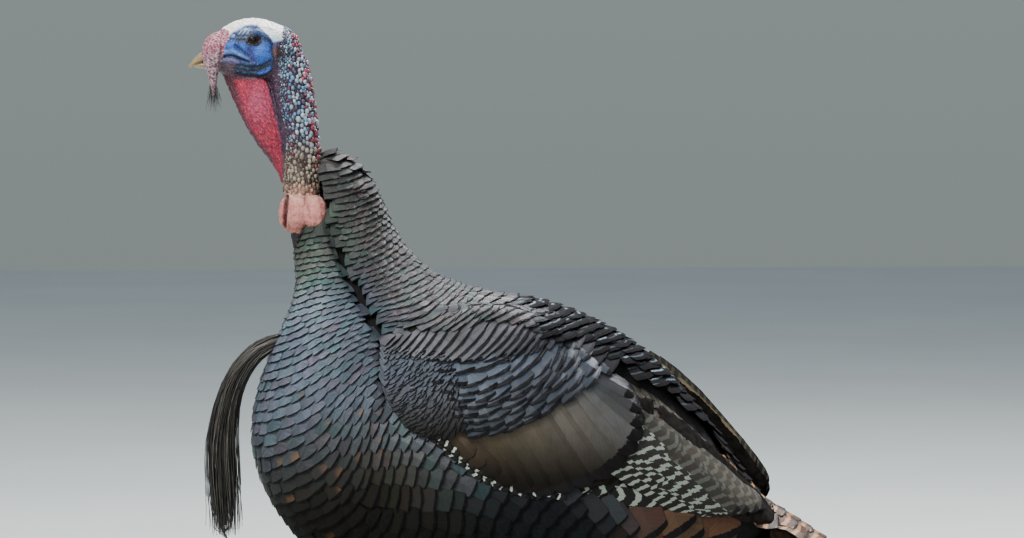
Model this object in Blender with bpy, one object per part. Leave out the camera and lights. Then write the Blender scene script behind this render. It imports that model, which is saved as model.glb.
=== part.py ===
"""A male wild turkey, life size, standing alert with its neck up and its wings folded.

Each named part of the bird is one closed solid. The working frame has Y running from the bill back to the
tail, +X on the bird's left and Z up from the floor. The last step sets the origin on the floor, under the
middle of the bird's box. The solids reach out to the tips of the feathers.
"""

import math
from typing import NamedTuple

import bmesh
import bpy
from mathutils import Matrix, Vector
from mathutils.bvhtree import BVHTree

MM = 0.001
GAP = 0.45 * MM  # left between neighbouring solids

# The feathered body, as slices that run across it from the back line to the front or belly line.
BODY_SIDES = 28
NECK_RINGS, TRUNK_RINGS = 8, 17
NECK_END = 5.0  # the slice where the feathered neck ends and the trunk begins
GROOVE_DEPTH = 9 * MM  # the fold down each side of the neck, between the breast and the shoulder
GROOVE_WIDTH = 8.0  # degrees round the body
CLEFT_DEPTH = 6 * MM  # the parting down the middle of the breast
CLEFT_WIDTH = 9.0

EYE_RADIUS = 8.2 * MM
EYE_PLACE = (15.5 * MM, -182 * MM, 879.5 * MM)

WING_ALONG, WING_ACROSS = 13, 6
WING_THICK = 17 * MM  # over the coverts
FLIGHT_THICK = 9 * MM  # over the flight feathers
WING_EDGE = 2.5 * MM
WING_SINK = 9 * MM  # how far the raw wing dips into the trunk before it is cut to fit
COVERT_SHARE = 0.6  # of the wing's length, up to the tips of the coverts
RIGHT_WING_LIFT = 44 * MM  # the right wing's inner feathers stand above the back

STANCE = 66 * MM  # from the middle of the body to each foot
FOOT_Y = 108 * MM
TOE_HEIGHT = 5.6 * MM  # a toe's centre line above the floor
TOE_TURN = 34  # degrees from one front toe to the next
CLAW_LENGTH = 15 * MM
SPUR_HEIGHT = 74 * MM


class Slice(NamedTuple):
    """A slice of the feathered body: (y, z) at its back and its front, and half its width, in millimetres."""

    back: tuple
    front: tuple
    half_width: float


BODY = (
    Slice((-106, 757), (-135, 666), 25),  # where the bare neck comes out
    Slice((-77, 752), (-138, 655), 35),  # top of the hackles
    Slice((-50, 724), (-139, 640), 43),
    Slice((-30, 679), (-138, 620), 50),
    Slice((-8, 647), (-142, 594), 59),
    Slice((24, 622), (-155, 564), 76),  # base of the neck
    Slice((68, 607), (-171, 526), 97),
    Slice((122, 598), (-185, 484), 116),
    Slice((177, 581), (-190, 438), 128),  # shoulders and the fullest of the breast
    Slice((229, 554), (-177, 386), 134),
    Slice((268, 523), (-142, 336), 136),
    Slice((300, 487), (-88, 286), 134),
    Slice((328, 453), (-15, 251), 128),
    Slice((349, 419), (68, 238), 117),  # belly
    Slice((368, 392), (155, 243), 100),
    Slice((385, 370), (243, 262), 76),
    Slice((399, 352), (318, 282), 48),  # root of the tail
    Slice((392, 336), (345, 300), 22),
)

# Slices straight across the head: y, top z, bottom z, half the width.
HEAD = (
    (-229, 868, 850, 10.5),
    (-223, 883, 846.5, 13.5),
    (-212, 895, 842, 17.5),
    (-200, 900.5, 839, 20.5),
    (-187, 903.5, 837, 22.5),
    (-175, 903, 836, 23.5),
    (-163, 900, 836, 23),
    (-151, 895.5, 838, 21),
    (-141, 889.5, 845, 16.5),
    (-134, 881, 853, 10),
    (-131, 873, 861, 4),
)
UPPER_BILL = (
    (-229.4, 870, 857.2, 10),
    (-235.5, 868, 856, 9),
    (-241, 864.5, 854.8, 7),
    (-246, 859.5, 852.6, 4.6),
    (-249.6, 855, 850, 2.3),
    (-252, 851, 848.6, 0.7),
)
LOWER_BILL = (
    (-229.4, 856.8, 848, 9),
    (-235.5, 855.6, 848.8, 7.8),
    (-240.5, 854.4, 849.4, 5.6),
    (-245.5, 852.2, 850.2, 2.2),
)
# Level slices of the bare neck: z, front y, back y, half the width.
BARE_NECK = (
    (876, -158, -134, 9),
    (866, -166, -128.5, 15),
    (853, -170, -123, 19),
    (834, -167, -118.5, 20.5),
    (812, -163, -115.5, 21),
    (781, -157, -112.5, 21),
    (748, -153, -109, 20),
    (715, -148.5, -110, 18.5),
    (688, -145, -111, 18),
    (650, -137, -107, 17),
)
# Level slices of the red throat skin: z, front y, back y, half the width at its back.
DEWLAP = (
    (850, -219.5, -176, 15),
    (832, -210.5, -164, 16),
    (811, -202, -158, 15.5),
    (790, -192, -152, 14),
    (774, -182.5, -150, 12.5),
    (758, -172, -148, 11),
    (744, -160, -146, 9),
    (732, -153.5, -145, 7),
    (722, -150, -144, 4.5),
)
DEWLAP_RIM = 2.6  # half its thickness at the front

# Round parts on a bent line: x, y, z and radius at each point.
SNOOD = (
    (2, -214, 885, 5),
    (6, -221, 880.5, 8.5),
    (10, -225.5, 873, 11),
    (12.5, -226.5, 864, 11.2),
    (13.5, -227, 855, 8.8),
    (13.5, -226.5, 846, 6.2),
    (13, -226, 836, 3.9),
    (13, -225.5, 818, 1.6),
)
# The beard is flat from side to side: x half width, then half width along the body, at each (y, z).
BEARD = (
    ((-148, 552), 10, 9),
    ((-176, 541), 12, 13),
    ((-199, 514), 13, 16),
    ((-212, 478), 13.5, 18),
    ((-217, 438), 14, 20),
    ((-216, 398), 13, 20),
    ((-214, 362), 9, 15),
    ((-214, 336), 4, 7),
)
# Fleshy lobes at the foot of the bare neck: name, centre and radii.
CARUNCLES = (
    ("caruncle_left", (14.5, -133, 692), (15, 15, 19)),
    ("caruncle_left_rear", (20, -115, 691), (15.5, 14, 19.5)),
    ("caruncle_right", (-17, -127, 692), (17, 19, 19)),
    ("caruncle_front", (1, -144.5, 690), (11, 9.5, 19)),
)

# The folded left wing, seen from the side: (y, z) along its lower edge and along its upper edge.
WING_LOW = ((-52, 551), (-47, 511), (-28, 473), (7, 436), (61, 397), (143, 380), (238, 369), (327, 355), (384, 342))
WING_HIGH = ((-34, 562), (2, 583), (52, 597), (110, 592), (165, 556), (215, 514), (285, 467), (345, 413), (392, 362))
# Half the bird's width at the wing, at least, from wrist to tip.
WING_PLAN = (104, 118, 122, 120, 112, 98, 82, 66, 54)

# Level slices of the feathered leg: z, centre x, centre y, radii.
THIGH = (
    (345, 66, 84, 44, 70),
    (300, 70, 90, 46, 68),
    (262, 70, 100, 40, 58),
    (232, 68, 112, 32, 44),
    (208, 67, 122, 23, 30),
    (190, 66, 129, 15, 18),
)
# The scaled leg below it: y, z and radius.
SHANK = (
    (132, 196, 10),
    (134, 184, 12.5),
    (132, 172, 12),
    (127, 150, 9.2),
    (120, 105, 8.6),
    (114, 60, 8.8),
    (110, 34, 10),
    (108, 14, 12),
)
# Toes: name, turn from straight ahead in degrees, length, radius at the root and at the tip.
TOES = (
    ("inner", -TOE_TURN, 62, 8.2, 5.6),
    ("middle", 0, 84, 8.6, 5.8),
    ("outer", TOE_TURN, 66, 8.2, 5.6),
    ("hind", 168, 36, 6.8, 5.2),
)

# Slices across the tail, from root to tip: distance along it, half width, half thickness, all in millimetres.
TAIL_ROOT, TAIL_DROP = (352, 346), 30  # (y, z) and degrees below level
TAIL = (
    (0, 34, 19),
    (60, 50, 17),
    (140, 58, 13),
    (240, 65, 9),
    (330, 70, 6.5),
    (375, 66, 5),
    (398, 50, 4),
    (408, 24, 3),
)
UPPER_COVERTS = (
    (-20, 34, 17),
    (30, 52, 25),
    (90, 58, 21),
    (150, 57, 14),
    (200, 50, 9),
    (232, 30, 4.5),
    (244, 10, 2.5),
)
UPPER_COVERTS_RISE = 15
UNDER_COVERTS = (
    (-30, 30, 30),
    (20, 44, 27),
    (80, 42, 19),
    (130, 34, 12),
    (165, 20, 7),
    (180, 8, 3.5),
)
UNDER_COVERTS_DROP = 20

PAINTS = {  # base colour, roughness, metallic
    "feathers": ((0.10, 0.105, 0.10), 0.5, 0.3),
    "wing_feathers": ((0.14, 0.115, 0.09), 0.5, 0.3),
    "tail_feathers": ((0.25, 0.13, 0.06), 0.55, 0.1),
    "head_skin": ((0.30, 0.42, 0.62), 0.5, 0.0),
    "neck_skin": ((0.42, 0.34, 0.36), 0.5, 0.0),
    "throat_skin": ((0.55, 0.10, 0.12), 0.5, 0.0),
    "caruncle_skin": ((0.75, 0.42, 0.38), 0.45, 0.0),
    "bristle": ((0.035, 0.032, 0.028), 0.6, 0.0),
    "horn": ((0.52, 0.47, 0.33), 0.35, 0.0),
    "claw_horn": ((0.10, 0.08, 0.07), 0.35, 0.0),
    "eye": ((0.03, 0.018, 0.012), 0.05, 0.0),
    "leg_scales": ((0.48, 0.26, 0.22), 0.5, 0.0),
}


def clear_scene():
    for old in list(bpy.data.objects):
        bpy.data.objects.remove(old)


def collection(name, shown=True):
    made = bpy.data.collections.new(name)
    bpy.context.scene.collection.children.link(made)
    made.hide_render = not shown
    return made


def paint(name):
    """The named material, made on first use."""
    made = bpy.data.materials.get(name)
    if made is None:
        colour, roughness, metallic = PAINTS[name]
        made = bpy.data.materials.new(name)
        made.use_nodes = True
        shader = made.node_tree.nodes["Principled BSDF"]
        shader.inputs["Base Color"].default_value = (*colour, 1.0)
        shader.inputs["Roughness"].default_value = roughness
        shader.inputs["Metallic"].default_value = metallic
    return made


def add_part(name, mesh, material):
    """Puts a mesh in the bird's collection, in triangles, as the sub-part of this name."""
    shape = bmesh.new()
    shape.from_mesh(mesh)
    bmesh.ops.triangulate(shape, faces=shape.faces)
    shape.to_mesh(mesh)
    shape.free()
    mesh.name = name
    made = bpy.data.objects.new(name, mesh)
    bpy.data.collections["wild_turkey"].objects.link(made)
    mesh.materials.clear()
    mesh.materials.append(paint(material))
    mesh.shade_smooth()
    mesh.set_sharp_from_angle(angle=math.radians(50))
    return made


def between(rows, t):
    """The row at place t on a smooth curve through these rows of numbers; row 0 is at t = 0."""
    t = min(max(t, 0.0), len(rows) - 1.0)
    i = min(int(t), len(rows) - 2)
    f = t - i
    before, a, b, after = (rows[min(max(i + k, 0), len(rows) - 1)] for k in (-1, 0, 1, 2))
    return [
        0.5 * (2 * q + (r - p) * f + (2 * p - 5 * q + 4 * r - s) * f * f + (3 * q - p - 3 * r + s) * f**3)
        for p, q, r, s in zip(before, a, b, after)
    ]


def places(first, last, count):
    return [first + (last - first) * i / (count - 1) for i in range(count)]


def skin_over(rings):
    """A closed mesh through rings that hold the same number of points, with flat ends."""
    shape = bmesh.new()
    rows = [[shape.verts.new(point) for point in ring] for ring in rings]
    sides = len(rows[0])
    for low, high in zip(rows, rows[1:]):
        for k in range(sides):
            shape.faces.new((low[k], low[(k + 1) % sides], high[(k + 1) % sides], high[k]))
    shape.faces.new(rows[0][::-1])
    shape.faces.new(rows[-1])
    bmesh.ops.recalc_face_normals(shape, faces=shape.faces)
    mesh = bpy.data.meshes.new("loft")
    shape.to_mesh(mesh)
    shape.free()
    return mesh


def oval(centre, across, up, half_across, half_up, sides, squareness=2.0):
    """A ring of points round an oval; a squareness above 2 fills its corners."""
    ring = []
    for k in range(sides):
        angle = 2 * math.pi * k / sides
        a, b = math.sin(angle), -math.cos(angle)
        power = 2.0 / squareness
        a = math.copysign(abs(a) ** power, a) * half_across
        b = math.copysign(abs(b) ** power, b) * half_up
        ring.append(Vector(centre) + Vector(across) * a + Vector(up) * b)
    return ring


def bump(distance, width):
    return math.exp(-((distance / width) ** 2))


def eased(t, start, end):
    """0 before start, 1 after end and smooth between them."""
    t = min(max((t - start) / (end - start), 0.0), 1.0)
    return t * t * (3 - 2 * t)


def body_ring(t):
    """The body's outline at slice t, with the fold beside the neck and the parting of the breast."""
    back_y, back_z, front_y, front_z, half_width = between(
        [(*s.back, *s.front, s.half_width) for s in BODY], t
    )
    back, front = Vector((0, back_y, back_z)) * MM, Vector((0, front_y, front_z)) * MM
    centre, reach = (back + front) / 2, (back - front).length / 2
    up = (back - front).normalized()
    groove = GROOVE_DEPTH * eased(t, 0.6, 2.5) * (1 - eased(t, 7.0, 8.6))
    cleft = CLEFT_DEPTH * eased(t, 1.5, 4.0) * (1 - eased(t, 9.0, 11.0))
    squareness = 2.0 + 0.35 * eased(t, 3.0, 8.0)
    ring = oval(centre, (1, 0, 0), up, half_width * MM, reach, BODY_SIDES, squareness)
    for k, point in enumerate(ring):
        turn = 360.0 * k / BODY_SIDES  # 0 at the front, 180 at the back
        side = min(turn, 360 - turn)
        dip = groove * bump(side - 90, GROOVE_WIDTH) + cleft * bump(side, CLEFT_WIDTH)
        inward = (centre - point).normalized()
        point += inward * dip
    return ring


def body_loft(first, last, count):
    return skin_over([body_ring(t) for t in places(first, last, count)])


def across_loft(rows, sides, count, squareness=2.0):
    """A loft of slices straight across the body, each given as y, top z, bottom z and half width."""
    rings = []
    for t in places(0, len(rows) - 1, count):
        y, top, bottom, half_width = (MM * number for number in between(rows, t))
        middle = (0, y, (top + bottom) / 2)
        rings.append(oval(middle, (1, 0, 0), (0, 0, 1), half_width, (top - bottom) / 2, sides, squareness))
    return skin_over(rings)


def level_loft(rows, sides, count):
    """A loft of level slices, each given as z, front y, back y and half width."""
    rings = []
    for t in places(0, len(rows) - 1, count):
        z, front, back, half_width = (MM * number for number in between(rows, t))
        middle = (0, (front + back) / 2, z)
        rings.append(oval(middle, (1, 0, 0), (0, 1, 0), half_width, (back - front) / 2, sides))
    return skin_over(rings)


def dewlap_loft(sides, count):
    """Level slices that taper from the width of the neck to a thin rim in front."""
    rings = []
    for t in places(0, len(DEWLAP) - 1, count):
        z, front, back, half_width = between(DEWLAP, t)
        ring = []
        for k in range(sides):
            angle = 2 * math.pi * k / sides
            share = (1 - math.cos(angle)) / 2  # 0 at the front rim, 1 at the back
            half = DEWLAP_RIM + (half_width - DEWLAP_RIM) * share**0.7
            x = half * math.copysign(min(abs(math.sin(angle)) * 1.6, 1.0), math.sin(angle))
            ring.append(Vector((x, front + (back - front) * share, z)) * MM)
        rings.append(ring)
    return skin_over(rings)


def tapered_tube(points, count, sides_over_four):
    """A round bar on a smooth line through (x, y, z, radius) points, as a bevelled curve made into a mesh."""
    data = bpy.data.curves.new("tube", "CURVE")
    data.dimensions = "3D"
    data.bevel_depth = MM
    data.bevel_resolution = sides_over_four
    data.use_fill_caps = True
    line = data.splines.new("POLY")
    line.points.add(count - 1)
    for point, t in zip(line.points, places(0, len(points) - 1, count)):
        x, y, z, radius = between(points, t)
        point.co = (x * MM, y * MM, z * MM, 1)
        point.radius = radius
    holder = bpy.data.objects.new("tube", data)
    bpy.context.scene.collection.objects.link(holder)
    bpy.context.view_layer.update()
    graph = bpy.context.evaluated_depsgraph_get()
    mesh = bpy.data.meshes.new_from_object(holder.evaluated_get(graph))
    bpy.data.objects.remove(holder)
    shape = bmesh.new()
    shape.from_mesh(mesh)
    bmesh.ops.remove_doubles(shape, verts=shape.verts, dist=0.00002)
    bmesh.ops.recalc_face_normals(shape, faces=shape.faces)
    shape.to_mesh(mesh)
    shape.free()
    return mesh


def ball(centre, radii, segments, rings):
    shape = bmesh.new()
    bmesh.ops.create_uvsphere(shape, u_segments=segments, v_segments=rings, radius=MM)
    bmesh.ops.scale(shape, vec=radii, verts=shape.verts)
    bmesh.ops.translate(shape, vec=Vector(centre) * MM, verts=shape.verts)
    mesh = bpy.data.meshes.new("ball")
    shape.to_mesh(mesh)
    shape.free()
    return mesh


def mirrored(mesh):
    """A copy of the mesh on the other side of the body."""
    copy = mesh.copy()
    copy.transform(Matrix.Scale(-1, 4, (1, 0, 0)))
    copy.flip_normals()
    return copy


def swollen(part):
    """A cutter: the part with its skin moved out by the gap."""
    mesh = part.data.copy()
    moves = [vertex.normal * GAP for vertex in mesh.vertices]
    for vertex, move in zip(mesh.vertices, moves):
        vertex.co += move
    cutter = bpy.data.objects.new(part.name + "_cutter", mesh)
    bpy.data.collections["cutters"].objects.link(cutter)
    cutter.hide_render = True
    cutter.display_type = "WIRE"
    return cutter


def settle(part):
    """Makes what the part's modifiers give its own mesh."""
    bpy.context.view_layer.update()
    graph = bpy.context.evaluated_depsgraph_get()
    mesh = bpy.data.meshes.new_from_object(part.evaluated_get(graph))
    part.modifiers.clear()
    part.data = mesh
    mesh.name = part.name


def combine(part, others, operation="DIFFERENCE"):
    for other in others:
        boolean = part.modifiers.new(operation.lower(), "BOOLEAN")
        boolean.operation = operation
        boolean.solver = "EXACT"
        boolean.object = other
    settle(part)


def fit_against(part, *neighbours):
    """Cuts the part back so that it meets these neighbours with the gap between them."""
    combine(part, [swollen(neighbour) for neighbour in neighbours])


def flatten_below(part, height):
    """Cuts off all that is below this height, with a flat underside."""
    shape = bmesh.new()
    shape.from_mesh(part.data)
    everything = shape.verts[:] + shape.edges[:] + shape.faces[:]
    cut = bmesh.ops.bisect_plane(
        shape, geom=everything, dist=1e-7, plane_co=(0, 0, height), plane_no=(0, 0, 1), clear_inner=True
    )
    rim = [item for item in cut["geom_cut"] if isinstance(item, bmesh.types.BMEdge)]
    if rim:
        bmesh.ops.edgeloop_fill(shape, edges=rim)
    bmesh.ops.recalc_face_normals(shape, faces=shape.faces)
    shape.to_mesh(part.data)
    shape.free()


def make_body():
    return {
        "trunk": add_part("trunk", body_loft(NECK_END + 0.005, len(BODY) - 1.0, TRUNK_RINGS), "feathers"),
        "neck_plumed": add_part("neck_plumed", body_loft(0.0, NECK_END - 0.005, NECK_RINGS), "feathers"),
    }


def make_head():
    head = add_part("head", across_loft(HEAD, 18, 12, 2.15), "head_skin")
    eyes = []
    for side, sign in (("left", 1), ("right", -1)):
        x, y, z = (number / MM for number in EYE_PLACE)
        radius = EYE_RADIUS / MM
        eyes.append(add_part(f"eye_{side}", ball((sign * x, y, z), (radius,) * 3, 11, 7), "eye"))
    fit_against(head, *eyes)
    upper = add_part("bill_upper", across_loft(UPPER_BILL, 12, 6, 2.3), "horn")
    lower = add_part("bill_lower", across_loft(LOWER_BILL, 10, 5, 2.3), "horn")
    fit_against(lower, upper)
    for half in (upper, lower):
        fit_against(half, head)
    snood = add_part("snood", tapered_tube(SNOOD, 10, 1), "caruncle_skin")
    fit_against(snood, head, upper, lower)
    return head


def make_neck(head, neck_plumed):
    neck = add_part("neck_bare", level_loft(BARE_NECK, 16, 11), "neck_skin")
    fit_against(neck, head)
    dewlap = add_part("dewlap", dewlap_loft(12, 8), "throat_skin")
    fit_against(dewlap, head, neck)
    lobes = []
    for name, centre, radii in CARUNCLES:
        lobe = add_part(name, ball(centre, radii, 10, 6), "caruncle_skin")
        fit_against(lobe, neck, dewlap, *lobes)
        lobes.append(lobe)
    fit_against(neck_plumed, neck, *lobes)


def wing_mesh(trunk, lift):
    """The raw folded wing on the +X side: a shell that follows the trunk and dips into it."""
    tree = BVHTree.FromObject(trunk, bpy.context.evaluated_depsgraph_get())
    spots, inner = [], []
    for i, u in enumerate(places(0, 1, WING_ALONG)):
        low = between(WING_LOW, u * (len(WING_LOW) - 1))
        high = between(WING_HIGH, u * (len(WING_HIGH) - 1))
        raised = lift * eased(u, 0.45, 0.7) * (1 - 0.35 * eased(u, 0.85, 1.0))
        row_spots, row_inner = [], []
        for v in places(0, 1, WING_ACROSS):
            y = (low[0] + (high[0] - low[0]) * v) * MM
            z = (low[1] + (high[1] - low[1]) * v) * MM + raised * v * v
            hit = tree.ray_cast(Vector((1, y, z)), Vector((-1, 0, 0)))[0]
            side = hit.x if hit else 0.0
            plan = between([(w,) for w in WING_PLAN], u * (len(WING_PLAN) - 1))[0] * MM
            lean = 1 - 0.32 * v * v * eased(u, 0.0, 0.5)  # the upper edge leans in over the back
            row_spots.append((u, v, y, z))
            row_inner.append(max(side, plan * lean))
        spots.append(row_spots)
        inner.append(row_inner)
    for _ in range(2):
        inner = smoothed(inner)
    outside, inside = [], []
    for row_spots, row_inner in zip(spots, inner):
        row_out, row_in = [], []
        for (u, v, y, z), x in zip(row_spots, row_inner):
            crown = math.sin(math.pi * v) ** 0.6 * math.sin(math.pi * min(u * 2.2 + 0.02, 0.5)) ** 0.5
            full = WING_THICK + (FLIGHT_THICK - WING_THICK) * eased(u, COVERT_SHARE - 0.03, COVERT_SHARE + 0.03)
            sink = WING_SINK * (1 - eased(u, 0.55, 0.8)) + 1.5 * MM
            row_out.append(Vector((x + WING_EDGE + (full - WING_EDGE) * crown, y, z)))
            row_in.append(Vector((x - sink, y, z)))
        outside.append(row_out)
        inside.append(row_in)
    return skin_over([low + high[::-1] for low, high in zip(outside, inside)])


def smoothed(grid):
    """The grid with each value moved halfway to the mean of its neighbours."""
    rows, columns = len(grid), len(grid[0])
    made = []
    for i in range(rows):
        row = []
        for j in range(columns):
            near = [
                grid[min(max(i + di, 0), rows - 1)][min(max(j + dj, 0), columns - 1)]
                for di, dj in ((-1, 0), (1, 0), (0, -1), (0, 1))
            ]
            row.append((grid[i][j] + sum(near) / 4) / 2)
        made.append(row)
    return made


def split_wing(wing, side):
    """Parts a wing with a thin slanting cut, at the tips of the coverts, into coverts and flight feathers."""
    u = COVERT_SHARE * (len(WING_LOW) - 1)
    low, high = between(WING_LOW, u), between(WING_HIGH, u)
    along = Vector((0, high[1] - low[1], -(high[0] - low[0]))).normalized()
    pieces = []
    for name, offset, keep_front in ((f"wing_{side}_coverts", -GAP / 2, True), (f"wing_{side}_flight", GAP / 2, False)):
        shape = bmesh.new()
        shape.from_mesh(wing.data)
        everything = shape.verts[:] + shape.edges[:] + shape.faces[:]
        point = Vector((0, low[0] * MM, low[1] * MM)) + along * offset
        cut = bmesh.ops.bisect_plane(
            shape, geom=everything, dist=1e-7, plane_co=point, plane_no=along,
            clear_outer=keep_front, clear_inner=not keep_front,
        )
        rim = [item for item in cut["geom_cut"] if isinstance(item, bmesh.types.BMEdge)]
        bmesh.ops.edgeloop_fill(shape, edges=rim)
        bmesh.ops.recalc_face_normals(shape, faces=shape.faces)
        mesh = bpy.data.meshes.new(name)
        shape.to_mesh(mesh)
        shape.free()
        pieces.append(add_part(name, mesh, "wing_feathers"))
    bpy.data.objects.remove(wing)
    return pieces


def make_wings(trunk, neck_plumed):
    wings = []
    for side, lift in (("left", 0.0), ("right", RIGHT_WING_LIFT)):
        mesh = wing_mesh(trunk, lift)
        wing = add_part(f"wing_{side}", mirrored(mesh) if side == "right" else mesh, "wing_feathers")
        fit_against(wing, trunk, neck_plumed)
        wings += split_wing(wing, side)
    return wings


def fan_loft(rows, rise, sides, count):
    """A flat loft along the tail's own line, raised above it by this much."""
    slope = math.radians(TAIL_DROP)
    along, up = Vector((0, math.cos(slope), -math.sin(slope))), Vector((0, math.sin(slope), math.cos(slope)))
    root = Vector((0, *TAIL_ROOT)) * MM
    rings = []
    for t in places(0, len(rows) - 1, count):
        distance, half_width, half_thick = (MM * number for number in between(rows, t))
        centre = root + along * distance + up * rise * MM
        rings.append(oval(centre, (1, 0, 0), up, half_width, half_thick, sides, 2.6))
    return skin_over(rings)


def make_tail(trunk, wings):
    tail = add_part("tail", fan_loft(TAIL, 0, 14, 8), "tail_feathers")
    fit_against(tail, trunk, *wings)
    over = add_part("tail_coverts_upper", fan_loft(UPPER_COVERTS, UPPER_COVERTS_RISE, 12, 7), "tail_feathers")
    fit_against(over, trunk, tail, *wings)
    under = add_part("tail_coverts_under", fan_loft(UNDER_COVERTS, -UNDER_COVERTS_DROP, 12, 6), "feathers")
    fit_against(under, trunk, tail, over, *wings)


def make_beard(trunk, neck_plumed):
    rings = []
    rows = [(y, z, thin, wide) for (y, z), thin, wide in BEARD]
    count = 9
    for t in places(0, len(rows) - 1, count):
        y, z, thin, wide = between(rows, t)
        ahead, behind = between(rows, t + 0.05), between(rows, t - 0.05)
        along = Vector((0, ahead[0] - behind[0], ahead[1] - behind[1])).normalized()
        outward = Vector((0, -along.z, along.y))
        rings.append(oval(Vector((0, y, z)) * MM, (1, 0, 0), outward, thin * MM, wide * MM, 10))
    beard = add_part("beard", skin_over(rings), "bristle")
    fit_against(beard, trunk, neck_plumed)


def foot_mesh(sign):
    """The pad and toes of one foot as separate bodies, to be joined: the pad first."""
    centre = (sign * STANCE / MM, FOOT_Y / MM)
    pad = ball((*centre, 7), (15, 17, 11), 10, 6)
    height = TOE_HEIGHT / MM
    toes = []
    for _, turn, length, root, tip in TOES:
        angle = math.radians(turn) * sign
        ahead = Vector((math.sin(angle), -math.cos(angle)))
        start, end = Vector(centre), Vector(centre) + ahead * length
        middle, nearer = start.lerp(end, 0.6), start.lerp(end, 0.92)
        toes.append(
            tapered_tube(
                (
                    (*start, height + 1.2, root),
                    (*start.lerp(end, 0.3), height + 1, root * 0.95),
                    (*middle, height + 0.4, (root + tip) / 2),
                    (*nearer, height, tip),
                    (*end, height - 1, tip * 0.62),
                ),
                5,
                1,
            )
        )
    return pad, toes


def claw_mesh(sign, turn, length):
    """A claw that curves down from the tip of a toe to just above the floor."""
    angle = math.radians(turn) * sign
    ahead = Vector((math.sin(angle), -math.cos(angle)))
    centre = Vector((sign * STANCE / MM, FOOT_Y / MM))
    reach = CLAW_LENGTH / MM
    height = TOE_HEIGHT / MM
    stops = ((-2.0, 0.9, 3.0), (0.35 * reach, 0.8, 2.6), (0.7 * reach, 0.1, 1.7), (reach, -2.6, 0.9))
    return tapered_tube(
        [(*(centre + ahead * (length + on)), height + rise, radius) for on, rise, radius in stops], 4, 0
    )


def make_legs(trunk, wings):
    for side, sign in (("left", 1), ("right", -1)):
        rings = []
        for t in places(0, len(THIGH) - 1, 7):
            z, x, y, half_x, half_y = (MM * number for number in between(THIGH, t))
            rings.append(oval((sign * x, y, z), (1, 0, 0), (0, 1, 0), half_x, half_y, 14))
        thigh = add_part(f"thigh_{side}", skin_over(rings), "feathers")
        pad, toes = foot_mesh(sign)
        foot = add_part(f"foot_{side}", pad, "leg_scales")
        helpers = []
        for toe in toes:
            helper = bpy.data.objects.new("toe", toe)
            bpy.data.collections["cutters"].objects.link(helper)
            helper.hide_render = True
            helpers.append(helper)
        combine(foot, helpers, "UNION")
        flatten_below(foot, 0.0)
        points = [(sign * STANCE / MM, y, z, radius) for y, z, radius in SHANK]
        shank = add_part(f"shank_{side}", tapered_tube(points, 10, 1), "leg_scales")
        fit_against(shank, foot)
        fit_against(thigh, trunk, shank, *[w for w in wings if side in w.name])
        for name, turn, length, _, _ in TOES:
            claw = add_part(f"claw_{side}_{name}", claw_mesh(sign, turn, length), "claw_horn")
            flatten_below(claw, GAP)
            fit_against(claw, foot)
        height = SPUR_HEIGHT / MM
        spur_line = (
            (sign * (STANCE / MM - 3), 117, height, 6.5),
            (sign * (STANCE / MM - 7), 128, height + 1, 5),
            (sign * (STANCE / MM - 10), 137, height + 4, 3),
            (sign * (STANCE / MM - 12), 144, height + 8, 0.8),
        )
        spur = add_part(f"spur_{side}", tapered_tube(spur_line, 5, 1), "claw_horn")
        fit_against(spur, shank)


def set_origin():
    """Puts the floor under the middle of the bird's box at the world's origin."""
    parts = list(bpy.data.collections["wild_turkey"].objects)
    corners = [part.matrix_world @ Vector(corner) for part in parts for corner in part.bound_box]
    middle = [(min(c[i] for c in corners) + max(c[i] for c in corners)) / 2 for i in (0, 1)]
    root = bpy.data.objects.new("bird_origin", None)
    bpy.context.scene.collection.objects.link(root)
    root.location = (-middle[0], -middle[1], 0)
    for part in parts:
        part.parent = root
    bpy.context.view_layer.update()


def main():
    clear_scene()
    collection("wild_turkey")
    collection("cutters", shown=False)
    body = make_body()
    head = make_head()
    make_neck(head, body["neck_plumed"])
    wings = make_wings(body["trunk"], body["neck_plumed"])
    make_tail(body["trunk"], wings)
    make_beard(body["trunk"], body["neck_plumed"])
    make_legs(body["trunk"], wings)
    set_origin()


main()
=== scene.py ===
"""A male wild turkey, life size, dressed in skin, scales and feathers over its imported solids.

Every feather is a thin closed vane that is laid on a sheet: a smooth surface found by casting rays at the
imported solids. Lengths are in metres. The tables of places are in millimetres, measured up from the floor and
from a middle line, with Y running from the bill to the tail and +X on the bird's left.
"""

import math
from functools import cache

import bmesh
import bpy
import numpy as np
from bpy.props import FloatProperty, FloatVectorProperty, IntProperty, PointerProperty
from mathutils import Matrix, Vector, noise
from mathutils.bvhtree import BVHTree


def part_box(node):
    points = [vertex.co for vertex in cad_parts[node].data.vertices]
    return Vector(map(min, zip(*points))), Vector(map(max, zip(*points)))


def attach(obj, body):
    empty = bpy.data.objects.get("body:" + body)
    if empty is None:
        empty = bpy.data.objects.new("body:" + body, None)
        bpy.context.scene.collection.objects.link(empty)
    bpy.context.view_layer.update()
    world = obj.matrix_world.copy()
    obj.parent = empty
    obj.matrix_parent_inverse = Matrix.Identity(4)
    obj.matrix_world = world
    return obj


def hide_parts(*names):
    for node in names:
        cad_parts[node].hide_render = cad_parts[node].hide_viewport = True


bl_info = {
    "name": "Wild Turkey",
    "version": (1, 0, 0),
    "blender": (4, 5, 0),
    "location": "View3D > Sidebar > Turkey",
    "description": "Builds a life-size wild turkey with skin, scales and feathers",
    "category": "Add Mesh",
}

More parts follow.
